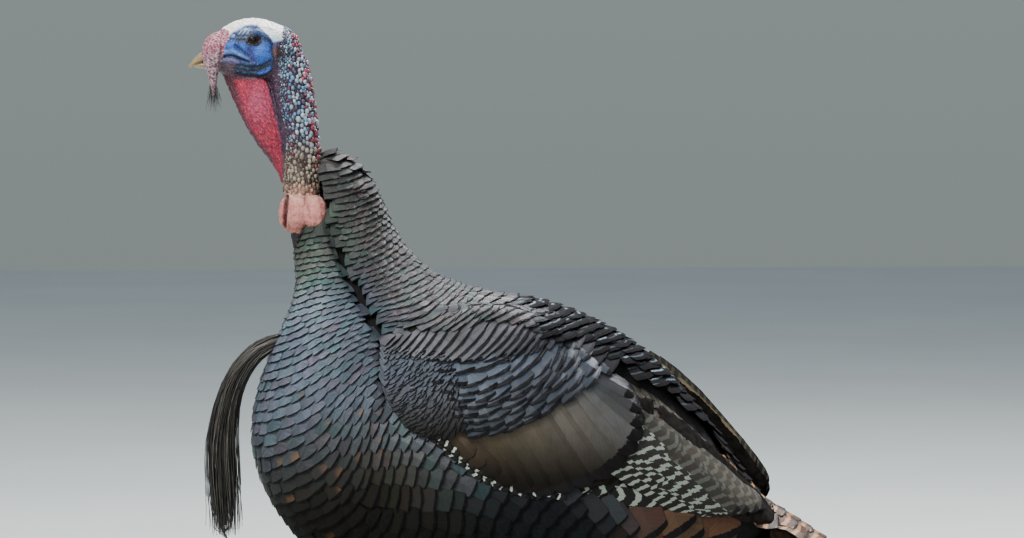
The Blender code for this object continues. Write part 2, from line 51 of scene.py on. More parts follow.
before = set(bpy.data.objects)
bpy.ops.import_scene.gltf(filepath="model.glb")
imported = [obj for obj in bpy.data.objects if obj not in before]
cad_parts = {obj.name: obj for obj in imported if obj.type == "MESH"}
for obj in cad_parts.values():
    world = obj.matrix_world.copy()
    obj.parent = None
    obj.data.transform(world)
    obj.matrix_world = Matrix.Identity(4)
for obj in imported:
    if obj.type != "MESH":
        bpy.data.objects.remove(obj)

MM = 0.001
BILL_TIP = -252 * MM  # where the tables put the tip of the bill
# What the tables' origin is in the frame.
ORIGIN = np.array([
    (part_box("trunk")[0].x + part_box("trunk")[1].x) / 2,
    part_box("bill_upper")[0].y - BILL_TIP,
    0.0,
])
SIDES = ("left", "right")
# How fine the surfaces are that are made from several solids at once.
BODY_VOXEL, CORE_VOXEL, LEG_VOXEL = 6 * MM, 4 * MM, 2.2 * MM
HEAD_VOXEL, CLAW_VOXEL, BILL_VOXEL = 1.1 * MM, 0.7 * MM, 0.5 * MM
SKIM = 0.0004  # how far solids are pushed out before they are joined, so that they meet

# Slices through the feathered body: (y, z) at the back, then at the front or belly.
SPINE = (
    (-106, 757, -135, 666), (-77, 752, -138, 655), (-50, 724, -139, 640), (-30, 679, -138, 620),
    (-8, 647, -142, 594), (24, 622, -155, 564), (68, 607, -171, 526), (122, 598, -185, 484),
    (177, 581, -190, 438), (229, 554, -177, 386), (268, 523, -142, 336), (300, 487, -88, 286),
    (328, 453, -15, 251), (349, 419, 68, 238), (368, 392, 155, 243), (385, 370, 243, 262),
    (399, 352, 318, 282), (392, 336, 345, 300),
)
LAST_SLICE = len(SPINE) - 1

# Level slices of the feathered leg and of the scaled leg: z, centre y.
THIGH_LINE = ((340, 84), (300, 90), (262, 100), (232, 112), (208, 122), (192, 128))
SHANK_LINE = (
    (192, 133), (184, 134), (172, 132), (150, 127), (105, 120), (60, 114), (34, 110), (16, 108),
)
STANCE = 66 * MM

TAIL_ROOT = (352, 346)
TAIL_DROP = math.radians(30)

# The fold that runs down each side of the neck to the bend of the wing, as (y, z).
GROOVE = (
    (-102, 677), (-91, 648), (-80, 623), (-68, 599), (-56, 575), (-46, 550), (-40, 531), (-42, 499),
    (-45, 479),
)

EYE = np.array([15.5, -182, 879.5]) * MM
EYE_RADIUS = 8.2 * MM
TURN = 6.283  # a full turn, in radians


# ---------------------------------------------------------------- numbers


def curve(rows, t):
    """Places on a smooth curve through the rows of an array; row 0 is at t = 0."""
    rows = np.asarray(rows, float)
    if rows.ndim == 1:
        return curve(rows[:, None], t)[..., 0]
    t = np.clip(np.asarray(t, float), 0, len(rows) - 1)
    i = np.minimum(t.astype(int), len(rows) - 2)
    f = (t - i)[..., None]
    p, q, r, s = (rows[np.clip(i + k, 0, len(rows) - 1)] for k in (-1, 0, 1, 2))
    return 0.5 * (2 * q + (r - p) * f + (2 * p - 5 * q + 4 * r - s) * f**2 + (3 * q - p - 3 * r + s) * f**3)


def eased(t, start, end):
    """0 before start, 1 after end and smooth between them."""
    t = np.clip((np.asarray(t, float) - start) / (end - start), 0, 1)
    return t * t * (3 - 2 * t)


def bump(distance, width):
    return np.exp(-((distance / width) ** 2))


def spot(points, y, z, half_y, half_z):
    """A soft spot on the side of the head, from 1 at its middle to 0; all in millimetres."""
    return np.exp(-(((points[:, 1] - y) / half_y) ** 2) - ((points[:, 2] - z) / half_z) ** 2)


def line_distance(points, line):
    """How far points are, seen from the side, from a line of (y, z) places."""
    nearest = np.full(len(points), np.inf)
    for a, b in zip(line[:-1], line[1:]):
        a, b = np.array(a, float), np.array(b, float)
        share = np.clip(((points[:, 1:] - a) @ (b - a)) / ((b - a) @ (b - a)), 0, 1)
        off = points[:, 1:] - a - share[:, None] * (b - a)
        nearest = np.minimum(nearest, np.linalg.norm(off, axis=1))
    return nearest


def crease(points, line, width):
    return bump(line_distance(points, line), width)


def mixed(a, b, share):
    return np.asarray(a) * (1 - share) + np.asarray(b) * share


def tinted(a, b, share):
    """A blend of two colours, or of rows of colours, with a share for each row."""
    return mixed(a, b, np.reshape(share, (-1, 1)))


def opaque(colours):
    """The colours with a full alpha."""
    return np.concatenate([colours, np.ones((*colours.shape[:-1], 1))], axis=-1)


def unit(vectors):
    return vectors / np.maximum(np.linalg.norm(vectors, axis=-1, keepdims=True), 1e-12)


def softened(grid, passes, wrap):
    """The grid with each value moved towards its neighbours; wrap says if its second side is a ring."""
    for _ in range(passes):
        edge = np.pad(grid, ((1, 1), (0, 0)), mode="edge")
        grid = 0.5 * grid + 0.25 * (edge[:-2] + edge[2:])
        edge = np.pad(grid, ((0, 0), (1, 1)), mode="wrap" if wrap else "edge")
        grid = 0.5 * grid + 0.25 * (edge[:, :-2] + edge[:, 2:])
    return grid


# ---------------------------------------------------------------- sheets


def solid_tree(*names):
    """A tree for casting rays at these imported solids."""
    points, faces = [], []
    for name in names:
        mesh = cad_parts[name].data
        start = len(points)
        points += [v.co.copy() for v in mesh.vertices]
        faces += [[start + k for k in p.vertices] for p in mesh.polygons]
    return BVHTree.FromPolygons(points, faces)


class Sheet:
    """A smooth surface over a grid of (s, t), with its slopes and its outward normals."""

    def __init__(self, points, s_span, t_span, ring=False):
        self.points, self.s_span, self.t_span, self.ring = points, s_span, t_span, ring
        rows, columns = points.shape[:2]
        self.s_step = (s_span[1] - s_span[0]) / (rows - 1)
        self.t_step = (t_span[1] - t_span[0]) / (columns if ring else columns - 1)
        self.by_s = np.gradient(points, self.s_step, axis=0)
        if ring:
            points = np.pad(points, ((0, 0), (1, 1), (0, 0)), mode="wrap")
        self.by_t = np.gradient(points, self.t_step, axis=1)
        if ring:
            self.by_t = self.by_t[:, 1:-1]
        self.normals = unit(np.cross(self.by_s, self.by_t))

    def at(self, s, t):
        """Point, slope by s, slope by t and normal at each place."""
        rows, columns = self.points.shape[:2]
        a = np.clip((s - self.s_span[0]) / self.s_step, 0, rows - 1.001)
        b = (t - self.t_span[0]) / self.t_step
        b = np.mod(b, columns) if self.ring else np.clip(b, 0, columns - 1.001)
        i, j = a.astype(int), np.minimum(b.astype(int), columns - 1)
        j2 = (j + 1) % columns
        f, g = (a - i)[..., None], (b - j)[..., None]
        found = []
        for grid in (self.points, self.by_s, self.by_t, self.normals):
            low, high = (grid[k, j] * (1 - g) + grid[k, j2] * g for k in (i, i + 1))
            found.append(low * (1 - f) + high * f)
        found[3] = unit(found[3])
        return found

    def slopes(self, place):
        """The slopes and the normal at each place, and a function that finds the step of (s, t) from how far
        a direction runs with each slope."""
        _, by_s, by_t, normal = self.at(place[:, 0], place[:, 1])
        ss, st, tt = ((p * q).sum(-1) for p, q in ((by_s, by_s), (by_s, by_t), (by_t, by_t)))
        scale = ss * tt - st * st

        def spread(on_s, on_t):
            return np.stack([(tt * on_s - st * on_t) / scale, (ss * on_t - st * on_s) / scale], axis=-1)

        return by_s, by_t, normal, spread

    def unwrap(self, place):
        """Where each place lies on the sheet, as shares of its two spans."""
        spans = np.array([self.s_span, self.t_span])
        return (place - spans[:, 0]) / (spans[:, 1] - spans[:, 0])


def ring_sheet(names, ends, centre_x=0.0, rows=171, step=2.5, passes=6):
    """A sheet round a body: s is the slice and t the angle in degrees from the front round by +X."""
    tree = solid_tree(*names)
    slices = np.linspace(0, len(ends) - 1, rows)
    turns = np.arange(0, 360, step)
    places = curve(np.array(ends) * MM, slices)
    base = ORIGIN + np.array([centre_x, 0, 0])
    back = np.pad(places[:, :2], ((0, 0), (1, 0))) + base
    front = np.pad(places[:, 2:], ((0, 0), (1, 0))) + base
    centres, ups = (back + front) / 2, unit(back - front)
    radius = np.full((rows, len(turns)), np.nan)
    for i in range(rows):
        reach = np.linalg.norm(back[i] - front[i]) / 2 * 1.25 + 0.02
        for j, turn in enumerate(np.radians(turns)):
            ray = np.array([math.sin(turn), 0, 0]) - ups[i] * math.cos(turn)
            hit = tree.ray_cast(Vector(centres[i] + ray * reach), Vector(-ray), reach)[0]
            if hit:
                radius[i, j] = np.linalg.norm(np.array(hit) - centres[i])
        known = np.where(~np.isnan(radius[i]))[0]
        if len(known) > 8:
            radius[i] = np.interp(np.arange(len(turns)), known, radius[i, known], period=len(turns))
        else:
            radius[i] = radius[i - 1] if i else 0.02
    radius = softened(radius, passes, True)
    angle = np.radians(turns)[None, :, None]
    rays = np.array([1.0, 0, 0]) * np.sin(angle) - ups[:, None] * np.cos(angle)
    return Sheet(centres[:, None] + rays * radius[..., None], (0, len(ends) - 1), (0, 360), ring=True)


CAST_FROM, CAST_REACH = 0.5, 0.6  # how far off a ray starts, and how far it goes


def cast_sheet(names, start, s_ray, t_ray, s_span, t_span, step=5 * MM, passes=6, mirrored=False):
    """A sheet over a flat grid, found by casting rays at right angles to it. s and t are in metres."""
    tree = solid_tree(*names)
    s = np.arange(s_span[0], s_span[1] + step / 2, step)
    t = np.arange(t_span[0], t_span[1] + step / 2, step)
    out = np.cross(s_ray, t_ray)
    flat = ORIGIN + start + s[:, None, None] * np.array(s_ray) + t[None, :, None] * np.array(t_ray)
    flip = np.array([-1.0, 1, 1]) if mirrored else np.ones(3)
    height = np.full((len(s), len(t)), np.nan)
    for i in range(len(s)):
        for j in range(len(t)):
            place = ORIGIN + (flat[i, j] + out * CAST_FROM - ORIGIN) * flip
            hit = tree.ray_cast(Vector(place), Vector(-out * flip), CAST_REACH)
            if hit[0]:
                height[i, j] = CAST_FROM - hit[3]
    while np.isnan(height).any():  # carry the outer values on past the edges
        edge = np.pad(height, 1, constant_values=np.nan)
        near = np.stack([edge[:-2, 1:-1], edge[2:, 1:-1], edge[1:-1, :-2], edge[1:-1, 2:]])
        count = (~np.isnan(near)).sum(0)
        height = np.where(
            np.isnan(height) & (count > 0), np.nansum(near, axis=0) / np.maximum(count, 1), height)
    height = softened(height, passes, False)
    return Sheet(flat + out * height[..., None], (s[0], s[-1]), (t[0], t[-1]))


def grooved(surface, depth, width):
    """The sheet with the fold of each side pressed into it; depth and width are in millimetres."""
    p = (surface.points - ORIGIN).reshape(-1, 3) / MM
    pressed = crease(p, GROOVE, width) * eased(abs(p[:, 0]), 8, 25) * depth * MM
    points = surface.points - surface.normals * pressed.reshape(surface.points.shape[:2])[..., None]
    return Sheet(points, surface.s_span, surface.t_span, surface.ring)


WINGS = ("wing_left_coverts", "wing_left_flight", "wing_right_coverts", "wing_right_flight")
FOLD_DEPTH, FOLD_WIDTH = 5.5, 6.5
WING_SPAN = ((-0.09, 0.425), (0.325, 0.64))
TAIL_SPAN = ((-0.1, 0.42), (-0.08, 0.08))


@cache
def sheet(name):
    """Each sheet is found once, when a piece first needs it."""
    x, y, z = np.eye(3)
    if name in ("body", "back"):
        wings, passes = ((), 6) if name == "body" else (WINGS, 3)
        surface = ring_sheet(("trunk", "neck_plumed", *wings), SPINE, passes=passes)
        return grooved(surface, FOLD_DEPTH, FOLD_WIDTH)
    if name in ("thigh", "shank"):
        line, half, step, passes = (THIGH_LINE, 40, 5, 3) if name == "thigh" else (SHANK_LINE, 4, 10, 1)
        ends = [(y + half, z, y - half, z) for z, y in line]
        return ring_sheet((f"{name}_left",), ends, STANCE, 60, step, passes)
    if name == "foot":
        sole = np.array([STANCE, 0, 0])
        return cast_sheet(("foot_left",), sole, x, y, (-0.06, 0.06), (0.01, 0.16), 1.5 * MM, 1)
    if name in ("tail_top", "tail_under"):
        covers, across = ("tail_coverts_upper", -x) if name == "tail_top" else ("tail_coverts_under", x)
        drop = np.array([0, math.cos(TAIL_DROP), -math.sin(TAIL_DROP)])
        return cast_sheet(("tail", covers, "trunk"), np.array([0, *TAIL_ROOT]) * MM, drop, across, *TAIL_SPAN)
    if name == "inner":  # the inner face of the right wing
        return cast_sheet(WINGS[2:], np.zeros(3), y, z, (0.10, 0.425), WING_SPAN[1])
    wing = ("trunk", f"wing_{name}_coverts", f"wing_{name}_flight", "neck_plumed")
    return cast_sheet(wing, np.zeros(3), y, z, *WING_SPAN, mirrored=name == "right")


# ---------------------------------------------------------------- vanes


class Shape:
    """The outline of a kind of feather: its width at places from root to tip, and how its tip is rounded."""

    def __init__(self, along, widths, round_tip, columns=7):
        self.v = np.asarray(along, float)
        self.width = np.asarray(widths, float)
        self.round_tip = round_tip  # how far the corners of the tip fall back, as a share of the width
        self.a = np.linspace(-1, 1, columns)

    def faces(self):
        """The faces of one vane: its top, its underside from edge to edge, and its two ends."""
        rows, columns = len(self.v), len(self.a)
        at = np.arange(rows * columns).reshape(rows, columns)
        made = []
        for i in range(rows - 1):
            for j in range(columns - 1):
                made.append((at[i, j], at[i, j + 1], at[i + 1, j + 1], at[i + 1, j]))
            made.append((at[i, 0], at[i + 1, 0], at[i + 1, -1], at[i, -1]))
        made.append(tuple(at[0][::-1]))
        made.append(tuple(at[-1]))
        return made


BRICK = Shape(
    (0, 0.35, 0.62, 0.8, 0.91, 0.96, 0.987, 1.0), (0.55, 0.85, 1.0, 1.0, 0.99, 0.95, 0.87, 0.7), 0.05, 5,
)
ROUND = Shape((0, 0.3, 0.5, 0.68, 0.8, 0.9, 0.96, 1.0), (0.4, 0.8, 1.0, 1.0, 0.93, 0.75, 0.52, 0.2), 0.05, 5)
LONG = Shape(
    (0, 0.12, 0.3, 0.5, 0.68, 0.82, 0.91, 0.96, 0.985, 1.0),
    (0.35, 0.7, 0.95, 1.0, 0.99, 0.95, 0.84, 0.68, 0.5, 0.24), 0.04, 9,
)
PLATE = Shape((0, 0.5, 0.85, 1.0), (0.9, 1.0, 0.95, 0.7), 0.1, 5)


def lay(surface, shape, place, along, across, length, width, heights, arch=0.0006, tilt=0.0, curl=0.0,
        ragged=0.0, rng=None):
    """Points of vanes laid on a sheet, a row of them for each vane. place is its tip; along and across are
    what a metre towards the tip, or across the vane, adds to (s, t); heights are those of root and tip."""
    count = len(place)
    v, a = np.meshgrid(shape.v, shape.a, indexing="ij")
    w = np.repeat(shape.width[:, None], len(shape.a), axis=1)
    v, a, w = (grid.ravel()[None] for grid in (v, a, w))

    def column(value):
        return np.broadcast_to(np.asarray(value, float), (count,))[:, None]

    length, width, arch, tilt, curl = map(column, (length, width, arch, tilt, curl))
    root, tip = map(column, heights)
    x = a * w * width / 2
    y = -(1 - v) * length - shape.round_tip * a * a * width * v**4
    if ragged:
        y = y + rng.normal(0, ragged, (count, v.shape[1])) * (v > 0.86)
        x = x + rng.normal(0, ragged * 0.5, (count, v.shape[1])) * (v > 0.7)
    height = root + (tip - root) * v + arch * (1 - a * a) + tilt * a
    height = height - curl * np.clip(v - 0.6, 0, 1) ** 2 / 0.16
    s = place[:, :1] + along[:, :1] * y + across[:, :1] * x
    t = place[:, 1:] + along[:, 1:] * y + across[:, 1:] * x
    points, _, _, normals = surface.at(s, t)
    return points + normals * height[..., None]


def directions(surface, place, heading=0.0, slope=None):
    """What a metre along and across a vane adds to (s, t). The vane points the way s runs, or where slope is
    given, the steepest way up it, and is turned by heading, in radians."""
    by_s, by_t, normal, spread = surface.slopes(place)
    if slope is None:
        along = unit(by_s)
    else:
        pair = spread(*slope)
        along = unit(by_s * pair[:, :1] + by_t * pair[:, 1:])
    across = np.cross(normal, along)
    c, s = (np.broadcast_to(n, (len(place),))[:, None] for n in (np.cos(heading), np.sin(heading)))
    along, across = along * c + across * s, across * c - along * s
    return [spread((ray * by_s).sum(-1), (ray * by_t).sum(-1)) for ray in (along, across)]


def climb(surface, place, slope):
    """How many rows a metre there are at each place, how far their lie leans from the run of s, as a cosine,
    and how wide a degree of t is."""
    by_s, by_t, _, spread = surface.slopes(place)
    pair = spread(*slope)
    ray = by_s * pair[:, :1] + by_t * pair[:, 1:]
    steep, run, wide = (np.linalg.norm(n, axis=-1) for n in (ray, by_s, by_t))
    return steep, (ray * by_s).sum(-1) / (steep * run), wide


class Batch:
    """Gathers vanes of any shape into one mesh."""

    def __init__(self):
        self.points, self.loops, self.totals = [], [], []
        self.vane, self.bake, self.tint, self.marks = [], [], [], []
        self.count = 0

    def add(self, shape, points, tint, marks, bake, patch, mirror=False):
        """points is a row of places for each vane; tint and marks are a colour each, bake its place on the
        map and patch its size there."""
        rows, verts = points.shape[:2]
        if mirror:
            points = points.copy()
            points[..., 0] = 2 * ORIGIN[0] - points[..., 0]
        v, a = np.meshgrid(shape.v, shape.a, indexing="ij")
        v, a = v.ravel(), a.ravel()
        faces = shape.faces()
        if mirror:
            faces = [face[::-1] for face in faces]
        loop = np.concatenate([np.array(face) for face in faces])
        start = self.count + np.arange(rows)[:, None] * verts
        self.loops.append((start + loop[None]).ravel())
        self.totals.append(np.tile([len(face) for face in faces], rows))
        self.points.append(points.reshape(-1, 3))
        self.vane.append(np.tile(np.stack([a / 2 + 0.5, v], axis=-1), (rows, 1)))
        shown = np.where(v < 0.5, v * 0.3, 0.15 + (v - 0.5) * 1.7)  # the hidden half takes little room
        patch = np.broadcast_to(np.asarray(patch, float), (rows, 2))
        spread = bake[:, None] + np.stack([a / 2, shown - 1], axis=-1)[None] * patch[:, None]
        self.bake.append(np.clip(spread, 0.001, 0.999).reshape(-1, 2))
        for store, value in ((self.tint, tint), (self.marks, marks)):
            value = np.asarray(value, float)
            if value.shape[-1] == 3:
                value = opaque(value)
            store.append(np.repeat(np.broadcast_to(value, (rows, 4)), verts, axis=0))
        self.count += rows * verts

    def build(self, name):
        points = np.concatenate(self.points)
        loops, totals = np.concatenate(self.loops), np.concatenate(self.totals)
        mesh = mesh_from(name, points, loops, totals)
        for layer, store in (("OFBake", self.bake), ("vane", self.vane)):
            mesh.uv_layers.new(name=layer)
            mesh.uv_layers[layer].data.foreach_set("uv", np.concatenate(store)[loops].ravel())
        set_colour(mesh, "tint", np.concatenate(self.tint))
        set_colour(mesh, "marks", np.concatenate(self.marks))
        mesh.set_sharp_from_angle(angle=math.radians(70))
        return new_object(name, mesh)


def mesh_from(name, points, loops, totals):
    mesh = bpy.data.meshes.new(name)
    mesh.vertices.add(len(points))
    mesh.vertices.foreach_set("co", np.asarray(points, float).ravel())
    mesh.loops.add(len(loops))
    mesh.loops.foreach_set("vertex_index", np.asarray(loops, np.int32))
    mesh.polygons.add(len(totals))
    starts = np.concatenate([[0], np.cumsum(totals)[:-1]])
    mesh.polygons.foreach_set("loop_start", starts.astype(np.int32))
    mesh.polygons.foreach_set("loop_total", np.asarray(totals, np.int32))
    mesh.update(calc_edges=True)
    mesh.polygons.foreach_set("use_smooth", np.ones(len(totals), bool))
    return mesh


def set_colour(mesh, name, values):
    made = mesh.attributes.new(name, "FLOAT_COLOR", "POINT")
    made.data.foreach_set("color", np.asarray(values, float).ravel())


def new_object(name, mesh):
    made = bpy.data.objects.new(name, mesh)
    bpy.context.scene.collection.objects.link(made)
    return made


def tube_faces(rings, sides):
    """Faces between rings of points, that of each side in turn."""
    at = np.arange(rings * sides).reshape(rings, sides)
    return [(at[i, k], at[i, (k + 1) % sides], at[i + 1, (k + 1) % sides], at[i + 1, k])
            for i in range(rings - 1) for k in range(sides)]


def repeated(name, points, faces, tints, uv):
    """Many copies of a form as one mesh: a row of points and a tint for each copy, the form's faces, and a
    place on the map for each point."""
    count, size = points.shape[:2]
    loops = (np.arange(count)[:, None] * size + np.concatenate(faces)).ravel()
    mesh = mesh_from(name, points.reshape(-1, 3), loops, np.tile([len(face) for face in faces], count))
    set_colour(mesh, "tint", np.repeat(opaque(tints), size, axis=0))
    mesh.uv_layers.new(name="OFBake")
    mesh.uv_layers["OFBake"].data.foreach_set("uv", uv[loops].ravel())
    return new_object(name, mesh)


def finish_piece(piece, slot, material, *nodes):
    """Hangs a piece on the frame with its material, and hides the solids it stands for; the slot is not used.
    """
    piece.data.materials.clear()
    piece.data.materials.append(material)
    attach(piece, "root")
    if nodes:
        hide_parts(*nodes)
    return piece


# ---------------------------------------------------------------- materials


class Value:
    """What a node gives. Adding, subtracting and multiplying values makes more nodes."""

    def __init__(self, nodes, socket):
        self.nodes, self.socket = nodes, socket

    def __add__(self, other):
        return self.nodes.math("ADD", self, other)

    def __radd__(self, other):
        return self.nodes.math("ADD", other, self)

    def __sub__(self, other):
        return self.nodes.math("SUBTRACT", self, other)

    def __rsub__(self, other):
        return self.nodes.math("SUBTRACT", other, self)

    def __mul__(self, other):
        return self.nodes.math("MULTIPLY", self, other)


class Nodes:
    """Builds a node tree, a node at a time. Patterns are laid out by the place on the object."""

    def __init__(self, tree, coordinates="Object"):
        self.tree = tree
        self.here = self.value("ShaderNodeTexCoord", output=coordinates)

    def node(self, kind, inputs=(), **settings):
        made = self.tree.nodes.new(kind)
        for key, value in settings.items():
            setattr(made, key, value)
        for key, value in dict(inputs).items():
            self.feed(made.inputs[key], value)
        return made

    def value(self, kind, inputs=(), output=0, **settings):
        return Value(self, self.node(kind, inputs, **settings).outputs[output])

    def feed(self, socket, value):
        if isinstance(value, Value):
            self.tree.links.new(value.socket, socket)
        elif isinstance(value, (tuple, list)) and socket.type == "RGBA" and len(value) == 3:
            socket.default_value = (*value, 1.0)
        else:
            socket.default_value = value

    def math(self, operation, a, b=0.0, clamp=False):
        return self.value("ShaderNodeMath", {0: a, 1: b}, operation=operation, use_clamp=clamp)

    def step(self, value, low, high, kind="SMOOTHSTEP"):
        """0 below low and 1 above high, smooth between them."""
        inputs = {"Value": value, "From Min": low, "From Max": high}
        return self.value("ShaderNodeMapRange", inputs, interpolation_type=kind)

    def mix(self, share, a, b, blend="MIX"):
        inputs = {0: share, 6: a, 7: b}
        return self.value("ShaderNodeMix", inputs, 2, data_type="RGBA", blend_type=blend)

    def noise(self, scale, detail=2.0, output=0, vector=None):
        inputs = {"Vector": vector or self.here, "Scale": scale, "Detail": detail}
        return self.value("ShaderNodeTexNoise", inputs, output)

    def parts(self, vector):
        made = self.node("ShaderNodeSeparateXYZ", {"Vector": vector})
        return [Value(self, socket) for socket in made.outputs]

    def attribute(self, name, output="Color"):
        return self.value("ShaderNodeAttribute", output=output, attribute_name=name)


class Paint(Nodes):
    """A material."""

    def __init__(self, name):
        self.material = bpy.data.materials.new(name)
        self.material.use_nodes = True
        super().__init__(self.material.node_tree)
        self.shader = self.tree.nodes["Principled BSDF"]

    def vane(self):
        """Where a place lies across its feather and along it."""
        return self.parts(self.value("ShaderNodeUVMap", uv_map="vane"))[:2]

    def bump(self, height, strength, distance):
        inputs = {"Height": height, "Strength": strength, "Distance": distance}
        self.feed(self.shader.inputs["Normal"], self.value("ShaderNodeBump", inputs))

    def set(self, **values):
        for key, value in values.items():
            self.feed(self.shader.inputs[key.replace("_", " ")], value)
        return self.material


def vane_paint(name, edge, metallic, roughness, barbs=46.0, side_edge=0.9, pale=(0.62, 0.66, 0.60),
               patch=(0.36, 0.15, 0.045), shade_below=None, specular=0.3, thin=0.15, strands=0.35, band=None):
    """The vane of a feather. Its tint is its own. Its marks are the dark tip's share of its length, how
    strongly a coloured patch shows, how strongly pale bars show and how many bars there are."""
    p = Paint(name)
    tint = p.attribute("tint")
    across, v = p.vane()
    tip_share, patch_share, bar_share = p.parts(p.attribute("marks"))
    bars = p.attribute("marks", "Alpha")
    side = p.math("ABSOLUTE", across - 0.5)  # 0 on the shaft, 0.5 at the edge
    # Barbs slant from the shaft towards the tip.
    barb_place = v - side * 0.5
    barb = p.math("SINE", barb_place * (barbs * TURN))
    drawn_out = {0: barb_place * (barbs * 0.6), 1: side * 2.0, 2: tip_share * 40.0}
    strand = p.noise(1.0, vector=p.value("ShaderNodeCombineXYZ", drawn_out))
    grain, cloud, hue = p.noise(900.0), p.noise(60.0), p.noise(32.0, 1.0, output=1)
    colour = p.mix(0.3, tint, p.mix(1.0, tint, p.mix(0.5, hue, (1.0, 1.0, 1.0)), "MULTIPLY"))
    for share in (p.step(strand, 0.3, 0.75) * strands, p.step(cloud, 0.35, 0.75) * 0.22):
        colour = p.mix(share, colour, (0.02, 0.02, 0.022))
    if shade_below:  # painted shade: darker towards the lower of two heights
        low, high, deep = shade_below
        colour = p.mix(p.step(p.parts(p.here)[2], low, high), p.mix(1.0, colour, deep, "MULTIPLY"), colour)
    # Pale bars, curved across the vane.
    phase = (v + side * 0.10) * bars + p.noise(300.0) * 0.35
    stripe = p.step(p.math("SINE", phase * TURN), thin, thin + 0.35)
    colour = p.mix(stripe * bar_share, colour, pale)
    if band:  # one broad dark band before the tip
        colour = p.mix(p.step(v, 0.845, 0.86) * p.step(v, 0.95, 0.94), colour, band)
    # A coloured patch before the dark tip, on one side.
    patched = p.step(v, 0.70, 0.88) * p.step(across + cloud * 0.3, 0.55, 0.85)
    colour = p.mix(patched * patch_share, colour, patch)
    # Dark tip and edges, a little uneven.
    wander = (p.noise(260.0, 1.0) - 0.5) * (tip_share * 0.4)
    tip = p.step(v + wander - (1.0 - tip_share), -0.006, 0.004)
    dark = p.math("MAXIMUM", tip, p.step(side, 0.455, 0.49) * side_edge) * p.step(tip_share, 0.0, 0.01)
    colour = p.mix(dark, colour, edge)
    colour = p.mix(p.step(side, 0.02, 0.004) * 0.3, colour, (0.03, 0.028, 0.026))  # the shaft
    p.bump(barb * 0.4 + (strand + grain * 0.6), 0.4, 0.0005)
    # The darkest feathers are dull.
    dull = p.step(p.parts(tint)[0], 0.06, 0.0) * (0.95 - roughness)
    return p.set(Base_Color=colour, Metallic=metallic, Roughness=roughness + dull,
                 Specular_IOR_Level=specular * 0.8)


def skin_paint():
    p = Paint("bare_skin")
    tint, grain = p.attribute("tint"), p.noise(420.0, 4.0)
    pits = p.value("ShaderNodeTexVoronoi", {"Vector": p.here, "Scale": 640.0}, "Distance")
    deep = p.mix(1.0, tint, (0.42, 0.32, 0.40), "MULTIPLY")
    colour = p.mix(p.step(grain, 0.42, 0.72) * 0.45, tint, deep)
    bare = p.step(p.parts(tint)[2], 0.010, 0.025)  # the skin under the feathers is painted near black, as the shade in the gaps between them, and is dull
    flecks = p.step(p.noise(900.0), 0.55, 0.75) * 0.18
    colour = p.mix(flecks * bare, colour, (0.85, 0.85, 0.88))
    p.bump(grain * 0.8 + pits * 0.8, 0.55, 0.0008)
    return p.set(Base_Color=colour, Roughness=0.95 - bare * 0.51, Specular_IOR_Level=0.4,
                 Subsurface_Weight=0.06, Subsurface_Scale=0.002)


def bead_paint():
    p = Paint("bead_skin")
    tint, grain = p.attribute("tint"), p.noise(600.0, 3.0)
    deep = p.mix(1.0, tint, (0.5, 0.42, 0.45), "MULTIPLY")
    p.bump(grain, 0.35, 0.0005)
    return p.set(Base_Color=p.mix(p.step(grain, 0.45, 0.75) * 0.35, tint, deep), Roughness=0.36)


def mottled_paint(name, colour, dark, roughness, scale=160.0, bump=0.3, coat=0.0, specular=0.5):
    p = Paint(name)
    shade = p.step(p.noise(scale, 3.0), 0.35, 0.7)
    p.bump(p.noise(scale * 5), bump, 0.0004)
    return p.set(Base_Color=p.mix(shade, colour, dark), Roughness=roughness, Coat_Weight=coat,
                 Specular_IOR_Level=specular)


def bill_paint():
    """Horn that runs from one colour at the face to another at the tip, with fine growth lines."""
    p = Paint("bill_horn")
    start, end = float(ORIGIN[1] - 0.226), float(ORIGIN[1] - 0.250)
    share = p.step(p.parts(p.here)[1], start, end) + p.noise(260.0, 3.0) * 0.25
    colour = p.mix(p.math("MULTIPLY", share, 1.0, True), (0.20, 0.10, 0.085), (0.29, 0.22, 0.12))
    stretched = p.value("ShaderNodeMapping", {"Vector": p.here, "Scale": (1.0, 5.0, 1.0)})
    lines = p.noise(300.0, vector=stretched)
    colour = p.mix(p.step(lines, 0.5, 0.75) * 0.3, colour, (0.10, 0.05, 0.0425))
    p.bump(lines, 0.2, 0.0003)
    return p.set(Base_Color=colour, Roughness=0.36, Coat_Weight=0.3)


def scute_paint():
    p = Paint("scutes")
    grain = p.noise(380.0, 3.0)
    colour = p.mix(p.step(p.vane()[1], 0.86, 1.0) * 0.5, p.attribute("tint"), (0.5, 0.36, 0.30))
    colour = p.mix(p.step(grain, 0.4, 0.7) * 0.4, colour, (0.16, 0.09, 0.09))
    p.bump(grain, 0.3, 0.0003)
    return p.set(Base_Color=colour, Roughness=0.42)


def hair_paint(name, roughness):
    p = Paint(name)
    colour = p.mix(p.noise(350.0) * 0.6, p.attribute("tint"), (0.01, 0.009, 0.008))
    return p.set(Base_Color=colour, Roughness=roughness)


def eye_paint():
    """Dark brown iris round a black pupil, under a clear wet coat; the rings are about the eye's own axis."""
    p = Paint("eye")
    dy, dz = (p.parts(p.here)[axis] - float(ORIGIN[axis] + EYE[axis]) for axis in (1, 2))
    away = p.math("SQRT", dy * dy + dz * dz)
    iris = p.mix(p.step(p.noise(900.0), 0.35, 0.7), (0.035, 0.015, 0.009), (0.018, 0.008, 0.006))
    colour = p.mix(p.step(away, 0.0029, 0.0032), (0.002, 0.002, 0.002), iris)
    colour = p.mix(p.step(away, 0.0056, 0.0064), colour, (0.012, 0.008, 0.008))
    return p.set(Base_Color=colour, Roughness=0.35, Specular_IOR_Level=0.15, Coat_Weight=0.3,
                 Coat_Roughness=0.04)


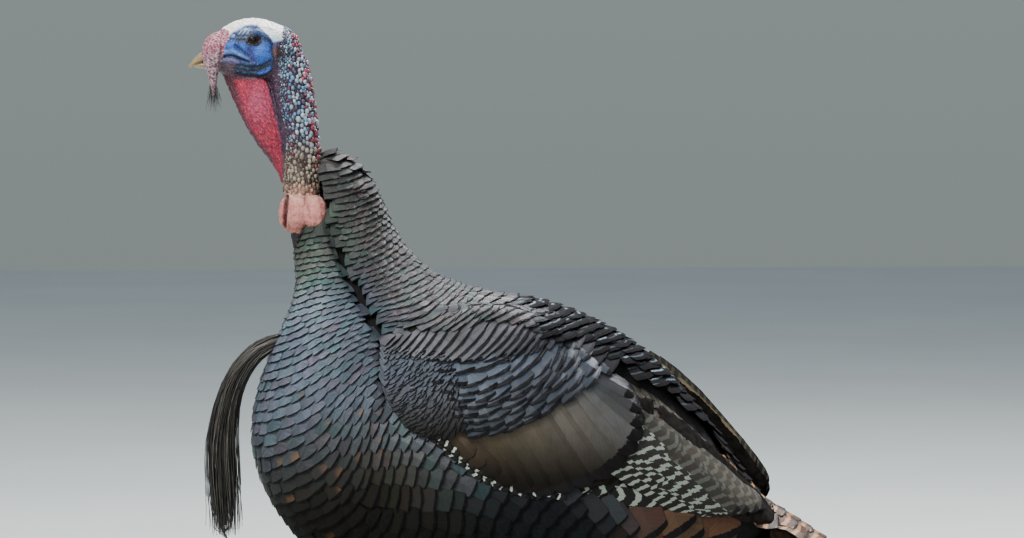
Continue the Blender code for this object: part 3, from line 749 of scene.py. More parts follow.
# ---------------------------------------------------------------- settings


class TurkeySettings(bpy.types.PropertyGroup):
    """Sizes and colours that the pieces are built from."""

    seed: IntProperty(name="Seed", description="Start of every random draw", default=11)
    coat_depth: FloatProperty(
        name="Coat depth", description="How far the skin lies under the feather tips", default=0.010,
        unit="LENGTH")
    beard_hairs: IntProperty(name="Beard hairs", description="Bristles in the beard", default=420)
    # Blue grey and brown grey hold the feathers' own colour and a painted sheen of the sky.
    blue_grey: FloatVectorProperty(
        name="Blue grey", description="Feathers of the breast", subtype="COLOR", default=(0.15, 0.175, 0.215))
    green_grey: FloatVectorProperty(
        name="Green grey", description="Feathers of the neck", subtype="COLOR", default=(0.115, 0.13, 0.115))
    brown_grey: FloatVectorProperty(
        name="Brown grey", description="Feathers of the upper back", subtype="COLOR",
        default=(0.16, 0.15, 0.145))
    bronze: FloatVectorProperty(
        name="Bronze", description="Feathers of the lower breast", subtype="COLOR",
        default=(0.085, 0.075, 0.05))
    dark: FloatVectorProperty(
        name="Dark", description="Feathers of the belly and rump", subtype="COLOR",
        default=(0.02, 0.018, 0.016))
    chestnut: FloatVectorProperty(
        name="Chestnut", description="Tail and rump feathers", subtype="COLOR", default=(0.17, 0.075, 0.035))


def settings():
    return bpy.context.scene.turkey


# ---------------------------------------------------------------- body plumage

# Zones of the body from the collar to the tail: first and last slice, and feathers in a full round.
ZONES = ((0.12, 1.9, 20), (1.9, 3.9, 28), (3.9, 6.0, 38), (6.0, 10.0, 54), (10.0, 13.2, 48), (13.2, 16.6, 28))
# How many rows of feathers lie before a place, seen from the side: (y, z, rows).
ROW_MARKS = (
    (-135, 667, 0), (-138, 607, 8.6), (-164, 541, 16.4), (-184, 486, 21.8), (-188, 432, 26.2),
    (-173, 377, 30.2), (-117, 672, 0), (-114, 614, 9), (-111, 561, 17), (-103, 514, 22.7), (-94, 466, 27.3),
    (-81, 416, 31.3), (-64, 369, 34.8), (-99, 667, 1), (-83, 631, 6.5), (-69, 599, 12.5), (-54, 562, 20),
    (-45, 525, 26.3), (-40, 488, 31.3), (-32, 451, 35), (-13, 416, 38), (14, 388, 40.4), (46, 369, 42.5),
    (-7, 341, 39.2), (101, 354, 45.6), (-89, 738, -9), (-78, 695, -3), (-66, 657, 3.2), (-49, 625, 9),
    (-32, 593, 15.5), (-60, 740, -8), (-38, 710, -3), (-22, 683, 3), (5, 652, 9), (33, 622, 15),
    (-7, 568, 19.5), (51, 609, 19.5), (86, 603, 22.5), (132, 589, 26), (220, 544, 34), (309, 461, 43),
    (387, 361, 52.5), (36, 590, 21), (79, 591, 24), (144, 568, 29), (211, 347, 50.5), (345, 346, 54.5),
    (-142, 336, 34), (-88, 286, 39), (-15, 251, 43), (68, 238, 47), (155, 243, 50.5), (243, 262, 54),
    (318, 282, 57.5),
)
# How light the feathers are at each slice, down the front, the side and the back: their own tone, darker on
# the belly, with a painted sheen of the sky, brightest on the breast and the back's ridge, and painted shade
# below.
TONE_AND_SHEEN_FRONT = (
    0.55, 0.65, 1.0, 1.6, 2.0, 1.8, 1.35, 1.15, 0.9, 0.42, 0.12, 0.08, 0.07, 0.06, 0.06, 0.06, 0.06, 0.06,
)
TONE_AND_SHEEN_SIDE = (
    0.55, 0.65, 0.85, 1.05, 1.05, 0.9, 0.78, 0.68, 0.8, 0.95, 0.6, 0.13, 0.06, 0.05, 0.05, 0.05, 0.08, 0.1,
)
TONE_AND_SHEEN_BACK = (0.55, 0.55, 0.6, 0.65, 0.65, 0.65, 0.75, 1.0, 0.9, 0.5, 0.4, 0.4, 0.4, 0.4, 0.4, 0.5, 0.6, 0.7)


def to_side(t):
    """How far a turn in degrees is from the front, the same on both sides."""
    return np.minimum(t % 360, 360 - t % 360)


def thin_plate(marks, smoothing=0.02):
    """A function that bends smoothly through values at places on a plane."""
    marks = np.array(marks, float)
    place, n = marks[:, :2] / 100, len(marks)

    def kernel(p):
        square = ((p[:, None] - place[None]) ** 2).sum(-1)
        return square * np.log(np.maximum(square, 1e-12))

    flat = np.column_stack([np.ones(n), place])
    system = np.block([[kernel(place) + smoothing * np.eye(n), flat], [flat.T, np.zeros((3, 3))]])
    weights = np.linalg.solve(system, np.append(marks[:, 2], (0, 0, 0)))
    return lambda p: kernel(p / 100) @ weights[:n] + np.column_stack([np.ones(len(p)), p / 100]) @ weights[n:]


class Rows:
    """Counts the rows of feathers from the collar back, over the whole body; a row is where the count is
    whole."""

    turn_step = 5.0

    def __init__(self, surface):
        self.s, self.t = np.linspace(0, LAST_SLICE, 341), np.arange(0, 361, self.turn_step)
        grid_s, grid_t = np.meshgrid(self.s, self.t, indexing="ij")
        points = (surface.at(grid_s, grid_t)[0] - ORIGIN) / MM
        count = thin_plate(ROW_MARKS)(points[..., 1:].reshape(-1, 2)).reshape(grid_s.shape)
        self.count = softened(count, 4, False)
        self.by_s = np.gradient(self.count, self.s[1] - self.s[0], axis=0)
        self.by_t = np.gradient(self.count, self.turn_step, axis=1)

    def read(self, grid, s, t):
        a = np.clip(s / (self.s[1] - self.s[0]), 0, len(self.s) - 1.001)
        b = np.clip((t % 360) / self.turn_step, 0, len(self.t) - 1.001)
        i, j = a.astype(int), b.astype(int)
        f, g = a - i, b - j
        near, far = (grid[i, k] * (1 - f) + grid[i + 1, k] * f for k in (j, j + 1))
        return near * (1 - g) + far * g

    def places(self, turn, start, end, odd):
        """Where every other row crosses a line down the body, between two slices."""
        column = self.read(self.count, self.s, np.full(len(self.s), turn))
        column = np.maximum.accumulate(column) + self.s * 1e-6
        first, last = np.interp((start, end), self.s, column)
        wanted = np.arange(math.ceil((first - odd) / 2), int((last - odd) / 2) + 1) * 2 + odd
        return np.interp(wanted, column, self.s)


RIDE_MARGIN = 0.018  # feathers this far under a wing's upper edge still lie over it
FOLD_BARE = 4.4  # how far to either side of the fold no feather grows, in millimetres
# The folded wing from the side: (y, z) along its lower and its upper edge.
WING_LOW = (
    (-52, 551), (-47, 511), (-28, 473), (7, 436), (61, 397), (143, 380), (238, 369), (327, 355), (384, 342),
)
WING_HIGH = (
    (-46, 570), (-2, 577), (40, 588), (70, 596), (110, 592), (165, 556), (215, 514), (285, 467), (345, 413),
    (392, 362),
)
# Fleshy lobes that no feather covers: centre y and z, half y and half z.
LOBES = ((-117, 691, 17, 21), (-133, 691, 20, 22))


def wing_covers(points, margin):
    """Which of these places lie well under a folded wing."""
    low, high = np.array(WING_LOW) * MM, np.array(WING_HIGH) * MM
    y, z = points[:, 1] - ORIGIN[1], points[:, 2]
    inside = (z > np.interp(y, *low.T) + margin) & (z < np.interp(y, *high.T) - margin)
    return inside & (y > high[0, 0]) & (y < high[-1, 0] - margin) & (abs(points[:, 0] - ORIGIN[0]) > 0.03)


def above_wing(points, margin):
    """Which of these places lie above the top edge of a wing, or below it by less than a margin."""
    high = np.array(WING_HIGH) * MM
    y = points[:, 1] - ORIGIN[1]
    edge = np.interp(y, *high.T)
    edge += np.where(points[:, 0] < ORIGIN[0], lifted(y / MM, edge / MM) * MM, 0)
    margin = mixed(-0.030, margin, eased(y, 0.22, 0.13)) * eased(y, -0.04, 0.05)
    return (points[:, 2] > edge - margin) & (y > high[0, 0]) & (y < high[-1, 0])


def in_ovals(ovals, y, z, reach=1):
    """Which places seen from the side lie in any of these ovals: centre y and z, half y and half z."""
    found = np.zeros(len(y), bool)
    for centre_y, centre_z, half_y, half_z in ovals:
        found |= ((y - centre_y) / half_y) ** 2 + ((z - centre_z) / half_z) ** 2 < reach
    return found


def chestnut_share(s, side, point):
    """How chestnut a feather of the body is: those before the root of the tail are, with broad black tips."""
    return eased(s, 12.4, 14.0) * eased(side, 60, 120) * eased(point[:, 2], 0.405, 0.385)


def body_tints(s, t, point, rng):
    """The colour of each feather of the body."""
    c, side, p = settings(), to_side(t), (point - ORIGIN) / MM
    at_back = eased(side, 92, 118)
    colour = tinted(c.green_grey, c.blue_grey, eased(s, 2.5, 5.5))
    colour = tinted(colour, c.brown_grey, at_back * 0.8)
    colour = tinted(colour, c.bronze, eased(s, 7.5, 10) * (1 - at_back) * eased(side, 95, 50))
    # Painted sheen and shade: lighter on the breast and the back's ridge, darker below, over the feathers' own
    # tone.
    light = mixed(curve(TONE_AND_SHEEN_FRONT, s), curve(TONE_AND_SHEEN_SIDE, s), eased(side, 30, 85))
    light = mixed(light, curve(TONE_AND_SHEEN_BACK, s), at_back)
    share = chestnut_share(s, side, point)
    colour = tinted(colour * light[:, None], np.array(c.chestnut) * 0.8, share * 0.9)
    # Painted shade: the feathers beside the fold down the neck's side are darker.
    colour *= (1 - 0.6 * crease(p, GROOVE, 8) * (abs(p[:, 0]) > 15))[:, None]
    shift = rng.normal(0, 0.45, (len(s), 1))
    green, warm = np.array([0.84, 1.08, 0.98]), np.array([1.16, 0.98, 0.96])
    colour = colour * np.where(shift > 0, mixed(1.0, green, shift), mixed(1.0, warm, -shift))
    return colour * rng.uniform(0.82, 1.16, (len(s), 1))


class TURKEY_OT_body_plumage(bpy.types.Operator):
    """Lays the feathers of the neck, breast, back and belly in rows like bricks"""

    bl_idname = "turkey.body_plumage"
    bl_label = "Body Plumage"

    def execute(self, context):
        surface, over = sheet("body"), sheet("back")
        rows = Rows(surface)
        rng = np.random.default_rng(settings().seed)
        paint = vane_paint("body_vanes", edge=(0.006, 0.005, 0.006), metallic=0.2, roughness=0.44, thin=0.5,
                           pale=(0.24, 0.29, 0.34), side_edge=0.4, patch=(0.20, 0.105, 0.045), specular=0.24)
        batches = {name: Batch() for name in ("neck", "breast_left", "breast_right", "flanks")}
        for zone, (start, end, around) in enumerate(ZONES):
            place, riding = self.places(rows, over, start, end, around, rng)
            point = surface.at(place[:, 0], place[:, 1])[0]
            keep = self.in_the_open(point, riding)
            place, riding, point = place[keep], riding[keep], point[keep]
            for laid_on, chosen in ((surface, ~riding), (over, riding)):
                for side in SIDES:
                    pick = np.where(chosen & ((place[:, 1] % 360 < 180) == (side == "left")))[0]
                    if not len(pick):
                        continue
                    name = "neck" if zone < 2 else "flanks" if zone > 3 else f"breast_{side}"
                    left_out = self.tract(batches[name], laid_on, rows, place[pick], point[pick], around,
                                          float(laid_on is over), rng)
                    again = pick[left_out]
                    if laid_on is over and len(again):
                        self.tract(batches[name], surface, rows, place[again], point[again], around, 0.0, rng)
        for name, batch in batches.items():
            finish_piece(batch.build(f"plumage_{name}"), "feathers", paint)
        return {"FINISHED"}

    def places(self, rows, over, start, end, around, rng):
        """The tips of a zone's feathers, and which of them ride over the wings. Where they do, behind the
        collar, each row is full; elsewhere each line down the body has every other row."""
        lines = []
        for j, turn in enumerate((np.arange(around * 2) + 0.5) * 180.0 / around):
            for extra in (0, 1):
                where = rows.places(turn, start, end, (j + extra) % 2)
                lines.append(np.column_stack([where, np.full((len(where), 2), (turn, extra))]))
        place = np.concatenate(lines)
        extra, place = place[:, 2] > 0, place[:, :2]
        place[:, 1] += rng.normal(0, 0.08, len(place)) * 180 / around
        riding = above_wing(over.at(place[:, 0], place[:, 1])[0], RIDE_MARGIN)
        kept = ~extra | (riding & (place[:, 0] > 5))
        return place[kept], riding[kept]

    def in_the_open(self, point, riding):
        """Which feathers lie clear of the wings, of the lobes and of the fold in the neck's side."""
        y = point[:, 1] - ORIGIN[1]
        margin = np.interp(y, (-0.05, 0.0, 0.1, 0.16, 0.22), (0.004, 0.024, 0.028, 0.006, -0.016))
        fold = line_distance((point - ORIGIN) / MM, GROOVE) < FOLD_BARE
        fold &= abs(point[:, 0] - ORIGIN[0]) > 0.02
        return (riding | ~wing_covers(point, margin)) & ~in_ovals(LOBES, y / MM, point[:, 2] / MM) & ~fold

    def tract(self, batch, surface, rows, place, point, around, riding, rng):
        """Lays the feathers at these places, and says which it left out."""
        n = len(place)
        s, turn = place[:, 0], place[:, 1] % 360
        side = to_side(turn)
        slope = [rows.read(grid, s, turn) for grid in (rows.by_s, rows.by_t)]
        steep, lean, wide = climb(surface, place, slope)
        shown = np.clip(1 / steep, 0.004, mixed(0.03, 0.013, riding))
        width = wide * 360 / around * 1.12 / np.clip(lean, 0.5, 1)
        ruffled = bump(side - 180, 40) * bump(s - 1.0, 1.5)
        # The feathers of the rump and over the wings' upper edges are dark, each with one pale band; the dark
        # is partly their own black and partly painted shade between the wings.
        back = (point[:, 1] - ORIGIN[1]) / MM
        edge = np.interp(back, *zip(*WING_HIGH))
        banded_and_shaded = eased(back, 100, 130) * eased(back, 440, 390) * eased(point[:, 2] / MM, edge - 60, edge - 40)
        length = shown * (3.1 + 1.0 * ruffled)
        heading = rng.normal(0, 0.05, n) + rng.normal(0, 0.12, n) * ruffled
        heading += 0.17 * np.sin(np.radians(turn)) * eased(s, 1.5, 5) * eased(s, 12, 10)
        along, across = directions(surface, place, heading, slope)
        place = place + along * rng.normal(0, 0.07, (n, 1)) * shown[:, None]
        lift = rng.normal(0, 0.0003, n) + ruffled * rng.uniform(0, 0.005, n)
        lift += banded_and_shaded * rng.uniform(0, 0.0015, n)
        points = lay(surface, BRICK, place, along, across, length, width, (-0.0012 - 0.10 * length, lift),
                     arch=0.0003 + width * 0.012, tilt=rng.normal(0, 0.0002, n),
                     curl=-(ruffled * 0.002 + banded_and_shaded * 0.0008), ragged=0.0002, rng=rng)
        # One that the sheet's folds would stretch is left out.
        fits = np.ptp(points, axis=1).max(-1) < 1.5 * length + width
        points, s, turn, side, point, length = (a[fits] for a in (points, s, turn, side, point, length))
        banded_and_shaded, n = banded_and_shaded[fits], fits.sum()
        marks = np.zeros((n, 4))
        broad = np.maximum(eased(side, 100, 140) * eased(s, 6.0, 8.0), eased(s, 7.5, 9.5))
        black_edge = mixed(0.0011, 0.0024, broad)
        marks[:, 0] = np.clip(black_edge / length, 0.01, 0.16) * rng.uniform(0.85, 1.25, n)
        marks[:, 0] = mixed(marks[:, 0], 0.14, banded_and_shaded)
        marks[:, 0] = mixed(marks[:, 0], 0.2, chestnut_share(s, side, point))
        marks[:, 2] = banded_and_shaded * eased(point[:, 1] - ORIGIN[1], 0.32, 0.26) * rng.uniform(0, 1, n) ** 2
        marks[:, 3] = (banded_and_shaded > 0.01) * rng.uniform(3.0, 4.5, n)
        copper = bump(s - 8.9, 1.1) * (side < 70)
        marks[:, 1] = (rng.uniform(0, 1, n) < copper * 0.2) * rng.uniform(0.15, 0.5, n)
        bake = np.stack([turn / 360, s / LAST_SLICE], axis=-1)
        # Partly painted shade: those of the rump and over the wings' upper edges are darkened.
        tints = body_tints(s, turn, point, rng) * (1 - 0.88 * banded_and_shaded[:, None])
        batch.add(BRICK, points, tints, marks, bake, (0.9 / around, 0.008))
        return ~fits


# ---------------------------------------------------------------- wings

# Rows of coverts over the wing: lines of feather tips, (y, z) from front to back, one under the other.
COVERT_LINES = (
    ((3, 536), (32, 533), (68, 538), (97, 546), (128, 562)),
    ((10, 509), (40, 507), (74, 517), (106, 534), (140, 564)),
    ((22, 490), (52, 489), (90, 498), (130, 520), (160, 552)),
    ((32, 471), (60, 472), (104, 487), (145, 513), (182, 545)),
    ((44, 453), (80, 459), (120, 475), (165, 500), (205, 524)),
)
COVERT_ROWS = 10
# The small feathers at the bend of the wing, in the same way: blue-grey over brown.
BEND_LINES = (
    ((-45, 548), (-24, 549), (-2, 548), (20, 542)),
    ((-46, 522), (-20, 521), (4, 521), (30, 522)),
    ((-42, 499), (-16, 496), (8, 497), (32, 505)),
    ((-32, 480), (-10, 476), (12, 477), (36, 486)),
    ((-18, 462), (0, 456), (20, 457), (44, 466)),
)
BEND_ROWS = 21
# Fans of long feathers. Each row is (y, z) of the tip, heading in degrees above the run to the tail, and
# length and width in millimetres; the feathers are spread between the rows, the first on top.
SCAPULARS = (
    (-38, 556, -28, 24, 18), (-26, 555, -32, 28, 28), (-10, 555, -36, 32, 40), (8, 555, -39, 36, 52),
    (30, 555, -42, 38, 64), (54, 555, -44, 40, 72), (77, 557, -46, 42, 78), (97, 559, -44, 42, 78),
    (115, 560, -42, 42, 76), (132, 561, -42, 42, 74), (150, 562, -42, 42, 70), (168, 560, -44, 42, 62),
    (188, 550, -46, 44, 54), (210, 528, -46, 46, 48),
)
GREATER_COVERTS = (
    (228, 497, -38, 90, 26), (236, 478, -42, 100, 28), (236, 460, -46, 110, 30), (230, 442, -50, 118, 32),
    (217, 426, -53, 122, 34), (198, 411, -56, 124, 36), (175, 400, -58, 122, 36), (150, 393, -60, 116, 36),
    (126, 391, -60, 108, 34), (102, 397, -58, 94, 32), (80, 409, -56, 76, 30), (62, 421, -52, 58, 26),
    (48, 433, -50, 44, 22),
)
TERTIALS = (
    (376, 369, -45, 215, 34), (368, 367, -43, 225, 40), (356, 367, -42, 225, 42),
    (346, 368, -41, 220, 40),
)
SECONDARIES = (
    (342, 364, -42, 235, 30), (330, 364, -41, 230, 30), (318, 365, -39, 222, 30), (306, 366, -36, 210, 30),
    (294, 368, -32, 195, 30),
)
PRIMARIES = (
    (336, 369, -18, 150, 26), (322, 369, -13, 150, 26), (292, 374, -10, 150, 24),
    (258, 381, -8, 130, 20),
)
INNER_VANES = (
    (345, 436, -42, 130, 24), (372, 408, -47, 170, 30), (392, 376, -52, 190, 34),
    (384, 368, -52, 200, 34),
)
EDGE_ROWS = (
    ((-4, 462), (18, 445), (45, 424), (75, 403), (105, 390), (150, 387)),
    ((4, 452), (25, 434), (52, 412), (80, 394), (108, 383), (152, 379)),
)
RIGHT_LIFT = 44


def lifted(y, z):
    """How much higher a place on the right wing lies than the same place on the left one."""
    share = np.interp(y, [-52, 384], [0, 1])
    low, high = (np.interp(y, *zip(*line)) for line in (WING_LOW, WING_HIGH))
    up = np.clip((z - low) / np.maximum(high - low, 1), 0, 1.1)
    return RIGHT_LIFT * eased(share, 0.45, 0.7) * (1 - 0.35 * eased(share, 0.85, 1.0)) * up**2


class Wing:
    """Lays tracts of feathers on one wing's sheet."""

    def __init__(self, side, rng, surface):
        self.side, self.rng, self.surface = side, rng, surface

    def lay(self, batch, shape, y, z, heading, length, width, heights, tint, marks, patch=(0.02, 0.02),
            **bends):
        if self.side == "right":
            z = z + lifted(y, z)
        place = np.stack([y, z], axis=-1) * MM
        along, across = directions(self.surface, place, heading)
        points = lay(self.surface, shape, place, along, across, length * MM, width * MM,
                     (heights[0] * MM, heights[1] * MM), rng=self.rng, **bends)
        batch.add(shape, points, tint, marks, self.surface.unwrap(place), patch, self.side == "right")

    def fan(self, batch, shape, table, count, heights, tint, marks, **bends):
        """heights is ((root, tip) of the first, (root, tip) of the last), in millimetres."""
        share = np.linspace(0, 1, count)
        y, z, heading, length, width = curve(table, share * (len(table) - 1)).T
        heading = np.radians(heading) + self.rng.normal(0, 0.02, count)
        first, last = np.array(heights)
        height = mixed(first[:, None], last[:, None], share[None])
        self.lay(batch, shape, y, z, heading, length, width, height, tint(share), marks, **bends)

    def bricks(self, batch, lines, rows, per_row, overlap, length, heights, tint, edge, turn=0.0, loose=1.0,
               **bends):
        """Rows of feathers between lines of tips, turned by an angle from square to them. tint is a function
        of the share of the way from the first line to the last; edge is a dark edge, in millimetres."""
        table = np.array(lines, float).reshape(len(lines), -1)
        found = []
        for row in range(rows):
            down = row / (rows - 1)
            line = curve(table, down * (len(lines) - 1)).reshape(-1, 2)
            count = int(round(np.interp(down, np.linspace(0, 1, len(per_row)), per_row)))
            share = (np.arange(count) + 0.5 + (0.25 if row % 2 else -0.25)) / count
            share = share + self.rng.normal(0, 0.08 * loose / count, count)
            spread = share * (len(line) - 1)
            here, ahead, back = (curve(line, spread + step) for step in (0, 0.02, -0.02))
            run = (ahead - back) / 0.04 * (len(line) - 1)
            size = np.linalg.norm(run, axis=-1) / count * overlap
            heading = np.arctan2(-run[:, 0], run[:, 1]) + turn
            found.append(np.column_stack([here, heading, size, np.full(count, down)]))
        y, z, heading, width, down = np.concatenate(found).T
        n = len(y)
        heading = heading + self.rng.normal(0, 0.045 * loose, n)
        z = z + self.rng.normal(0, 0.35 * loose, n)
        long = np.interp(down, np.linspace(0, 1, len(length)), length)
        height = np.array(heights)[:, None] + np.zeros(n)
        tints = tint(down)
        marks = np.zeros((n, 4))
        marks[:, 0] = edge / long * self.rng.uniform(0.8, 1.3, n)
        self.lay(batch, BRICK, y, z, heading, long, width, height, tints, marks, **bends)


def shades(rng, *colours):
    """A function that gives each feather of a tract its colour, mixed along the tract's share."""

    def pick(share):
        colour = curve(np.array(colours), np.asarray(share) * (len(colours) - 1))
        return np.clip(colour, 0, 1) * rng.uniform(0.85, 1.15, (len(colour), 1))

    return pick


class TURKEY_OT_wings(bpy.types.Operator):
    """Lays the tracts of feathers of both folded wings over a core"""

    bl_idname = "turkey.wings"
    bl_label = "Wings"

    def execute(self, context):
        dark = (0.012, 0.010, 0.010)
        paints = {
            "covert": vane_paint("covert_vanes", (0.008, 0.007, 0.009), 0.2, 0.42),
            "bronze": vane_paint("bronze_vanes", (0.010, 0.008, 0.008), 0.3, 0.36, barbs=60.0, side_edge=0.25,
                                 shade_below=(0.398, 0.475, (0.05, 0.036, 0.02)), strands=0.15),
            "flight": vane_paint("flight_vanes", dark, 0.0, 0.5, barbs=90.0, side_edge=0.2,
                                 pale=(0.25, 0.275, 0.235), thin=0.22),
            "edge": vane_paint("edge_vanes", dark, 0.0, 0.5, pale=(0.44, 0.47, 0.41), thin=0.35),
        }
        for number, side in enumerate(SIDES):
            rng = np.random.default_rng(settings().seed + 20 + number)
            wing = Wing(side, rng, sheet(side))
            batches = {kind: Batch() for kind in ("covert", "edge", "bronze", "flight")}
            self.shoulder(wing, batches["covert"], rng)
            self.panel(wing, batches["bronze"], rng)
            self.flight(wing, batches["flight"], rng)
            if side == "right":  # its inner face shows past the back from the other side, painted near black as shade but for an ochre top vane that is partly a painted lit edge
                Wing("left", rng, sheet("inner")).fan(
                    batches["flight"], LONG, INNER_VANES, 6, ((-5, 0.5), (-6, -0.5)),
                    shades(rng, (0.62, 0.49, 0.27), (0.10, 0.08, 0.05), (0.02, 0.017, 0.015),
                           (0.02, 0.017, 0.015)),
                    (0.03, 0, 0.2, 18), arch=0.0010, patch=(0.03, 0.05))
            self.lower_edge(wing, batches["edge"])
            for kind, batch in batches.items():
                finish_piece(batch.build(f"wing_{side}_{kind}_vanes"), "feathers", paints[kind])
            self.core(side)
        return {"FINISHED"}

    def shoulder(self, wing, batch, rng):
        slate = np.array(settings().blue_grey)
        scapulars, count = (SCAPULARS, 25) if wing.side == "left" else (SCAPULARS[:9], 15)
        # Pale grey scapulars that darken towards the rear: partly a painted sheen in front and painted shade
        # towards the back between the wings.
        wing.fan(batch, BRICK, scapulars, count, ((-7, 0.8), (-7, 0.5)),
                 shades(rng, (0.14, 0.145, 0.155), (0.15, 0.145, 0.155), (0.07, 0.07, 0.078),
                        (0.02, 0.02, 0.024)),
                 (0.065, 0, 0, 0), arch=0.0012, ragged=0.0003, patch=(0.016, 0.03))
        # Blue-grey coverts, lighter on the upper rows and darker on the lower ones: partly a painted sheen
        # above and painted shade below.
        wing.bricks(batch, COVERT_LINES, COVERT_ROWS, (6, 7, 8), 1.4, (30, 34, 44), (-6.0, -0.4),
                    shades(rng, slate * 0.95, slate * 0.5, slate * 0.32), 3.6, turn=0.12, loose=1.5,
                    arch=0.0010, ragged=0.0003)
        wing.bricks(batch, BEND_LINES, BEND_ROWS, (13, 11, 9), 1.7, (17, 19, 22), (-4.0, -0.2),
                    shades(rng, (0.14, 0.15, 0.17), (0.125, 0.14, 0.17), (0.11, 0.118, 0.135),
                           (0.06, 0.060, 0.062), (0.025, 0.023, 0.020)),
                    1.0, turn=0.75, loose=2.4, arch=0.0006, ragged=0.0004, patch=(0.014, 0.012))

    def panel(self, wing, batch, rng):
        """The bronze panel; only its front feathers have broad dark tips."""
        count = 15
        marks = np.zeros((count, 4))
        marks[:, 0] = np.interp(np.arange(count), (8, 11), (0.12, 0.02))
        wing.fan(batch, LONG, GREATER_COVERTS, count, ((-7, -1.4), (-7, -2.2)),
                 shades(rng, (0.07, 0.068, 0.072), (0.115, 0.108, 0.10), (0.13, 0.11, 0.085),
                        (0.11, 0.085, 0.055), (0.09, 0.065, 0.04)),
                 marks, arch=0.0012, tilt=-0.0006, patch=(0.03, 0.05))

    def flight(self, wing, batch, rng):
        """The barred feathers: those next to the back, those of the forearm and those of the hand."""
        wing.fan(batch, LONG, TERTIALS, 4, ((-8, -1.2), (-8, -1.6)),
                 shades(rng, (0.085, 0.071, 0.055), (0.055, 0.046, 0.036)), (0.03, 0.0, 0.2, 16), arch=0.0014,
                 tilt=-0.0008, patch=(0.03, 0.05))
        marks = np.tile((0.02, 0, 0.85, 0), (9, 1))
        marks[:, 3] = rng.uniform(14, 17, 9)
        wing.fan(batch, LONG, SECONDARIES, 9, ((-8, -1.8), (-8, -2.8)),
                 shades(rng, (0.030, 0.026, 0.022), (0.022, 0.019, 0.016)), marks, arch=0.0010, tilt=-0.0010,
                 patch=(0.03, 0.05))
        wing.fan(batch, LONG, PRIMARIES, 5, ((-8.5, -3.0), (-9, -4.0)),
                 shades(rng, (0.016, 0.014, 0.012), (0.014, 0.012, 0.011)), (0.02, 0, 0.9, 6.5), arch=0.0008,
                 tilt=-0.0008, patch=(0.03, 0.05))

    def lower_edge(self, wing, batch, count=17):
        """Rows of small barred feathers along the wing's lower edge."""
        for row, line in enumerate(EDGE_ROWS):
            share = np.linspace(0, 1, count) * (len(line) - 1)
            here, ahead, back = (curve(line, share + step) for step in (0, 0.05, -0.05))
            run = ahead - back
            heading = np.arctan2(run[:, 1], run[:, 0]) - 0.15
            wing.lay(batch, ROUND, *here.T, heading, 30.0, 9.5, (-8.0, -1.5 - row), (0.02, 0.018, 0.016),
                     (0.09, 0, 0.95, 2.9), arch=0.0006, patch=(0.012, 0.012))

    def core(self, side):
        """The dark down that closes the gaps between the feathers."""
        solids = (f"wing_{side}_coverts", f"wing_{side}_flight")
        core = remeshed(joined_copy(f"wing_{side}_core", solids, SKIM), CORE_VOXEL, 2)
        shrink(core, 0.002, Vector((-0.006 if side == "left" else 0.006, 0, 0)))
        paint = mottled_paint(f"wing_{side}_down", (0.022, 0.019, 0.017), (0.010, 0.009, 0.008), 0.8,
                              specular=0.08)
        finish_piece(core, "feathers", paint, *solids)


# ---------------------------------------------------------------- tail


TAIL_FEATHERS = 9  # on each half of each face


def rows_on(surface, batch, rng, shape, s_span, half_width, shown, wide, length, heights, tint, marks,
            fan=0.0, overlap=1.2, patch=(0.05, 0.03)):
    """Rows of feathers on a flat sheet, between two places along it, and out to a half width at each."""
    s, row, found = s_span[0], 0, []
    while s < s_span[1]:
        share = (s - s_span[0]) / (s_span[1] - s_span[0])
        half = np.interp(share, np.linspace(0, 1, len(half_width)), half_width)
        count = max(2, int(round(2 * half / wide)))
        across = (np.arange(count) + 0.5 + (0.25 if row % 2 else -0.25)) / count * 2 - 1
        size = 2 * half / count * overlap
        for a in across:
            found.append((s - abs(a) ** 2 * shown * 0.6, a * half, a * fan, share, size))
        s += shown
        row += 1
    s, t, heading, share, size = np.array(found).T
    place = np.stack([s, t], axis=-1) * MM
    place += rng.normal(0, 0.0008, place.shape)
    along, across = directions(surface, place, heading + rng.normal(0, 0.04, len(place)))
    points = lay(surface, shape, place, along, across, length * MM, size * MM,
                 (heights[0] * MM, heights[1] * MM), arch=0.0007, ragged=0.0005, rng=rng)
    batch.add(shape, points, tint(share), marks, surface.unwrap(place), patch)


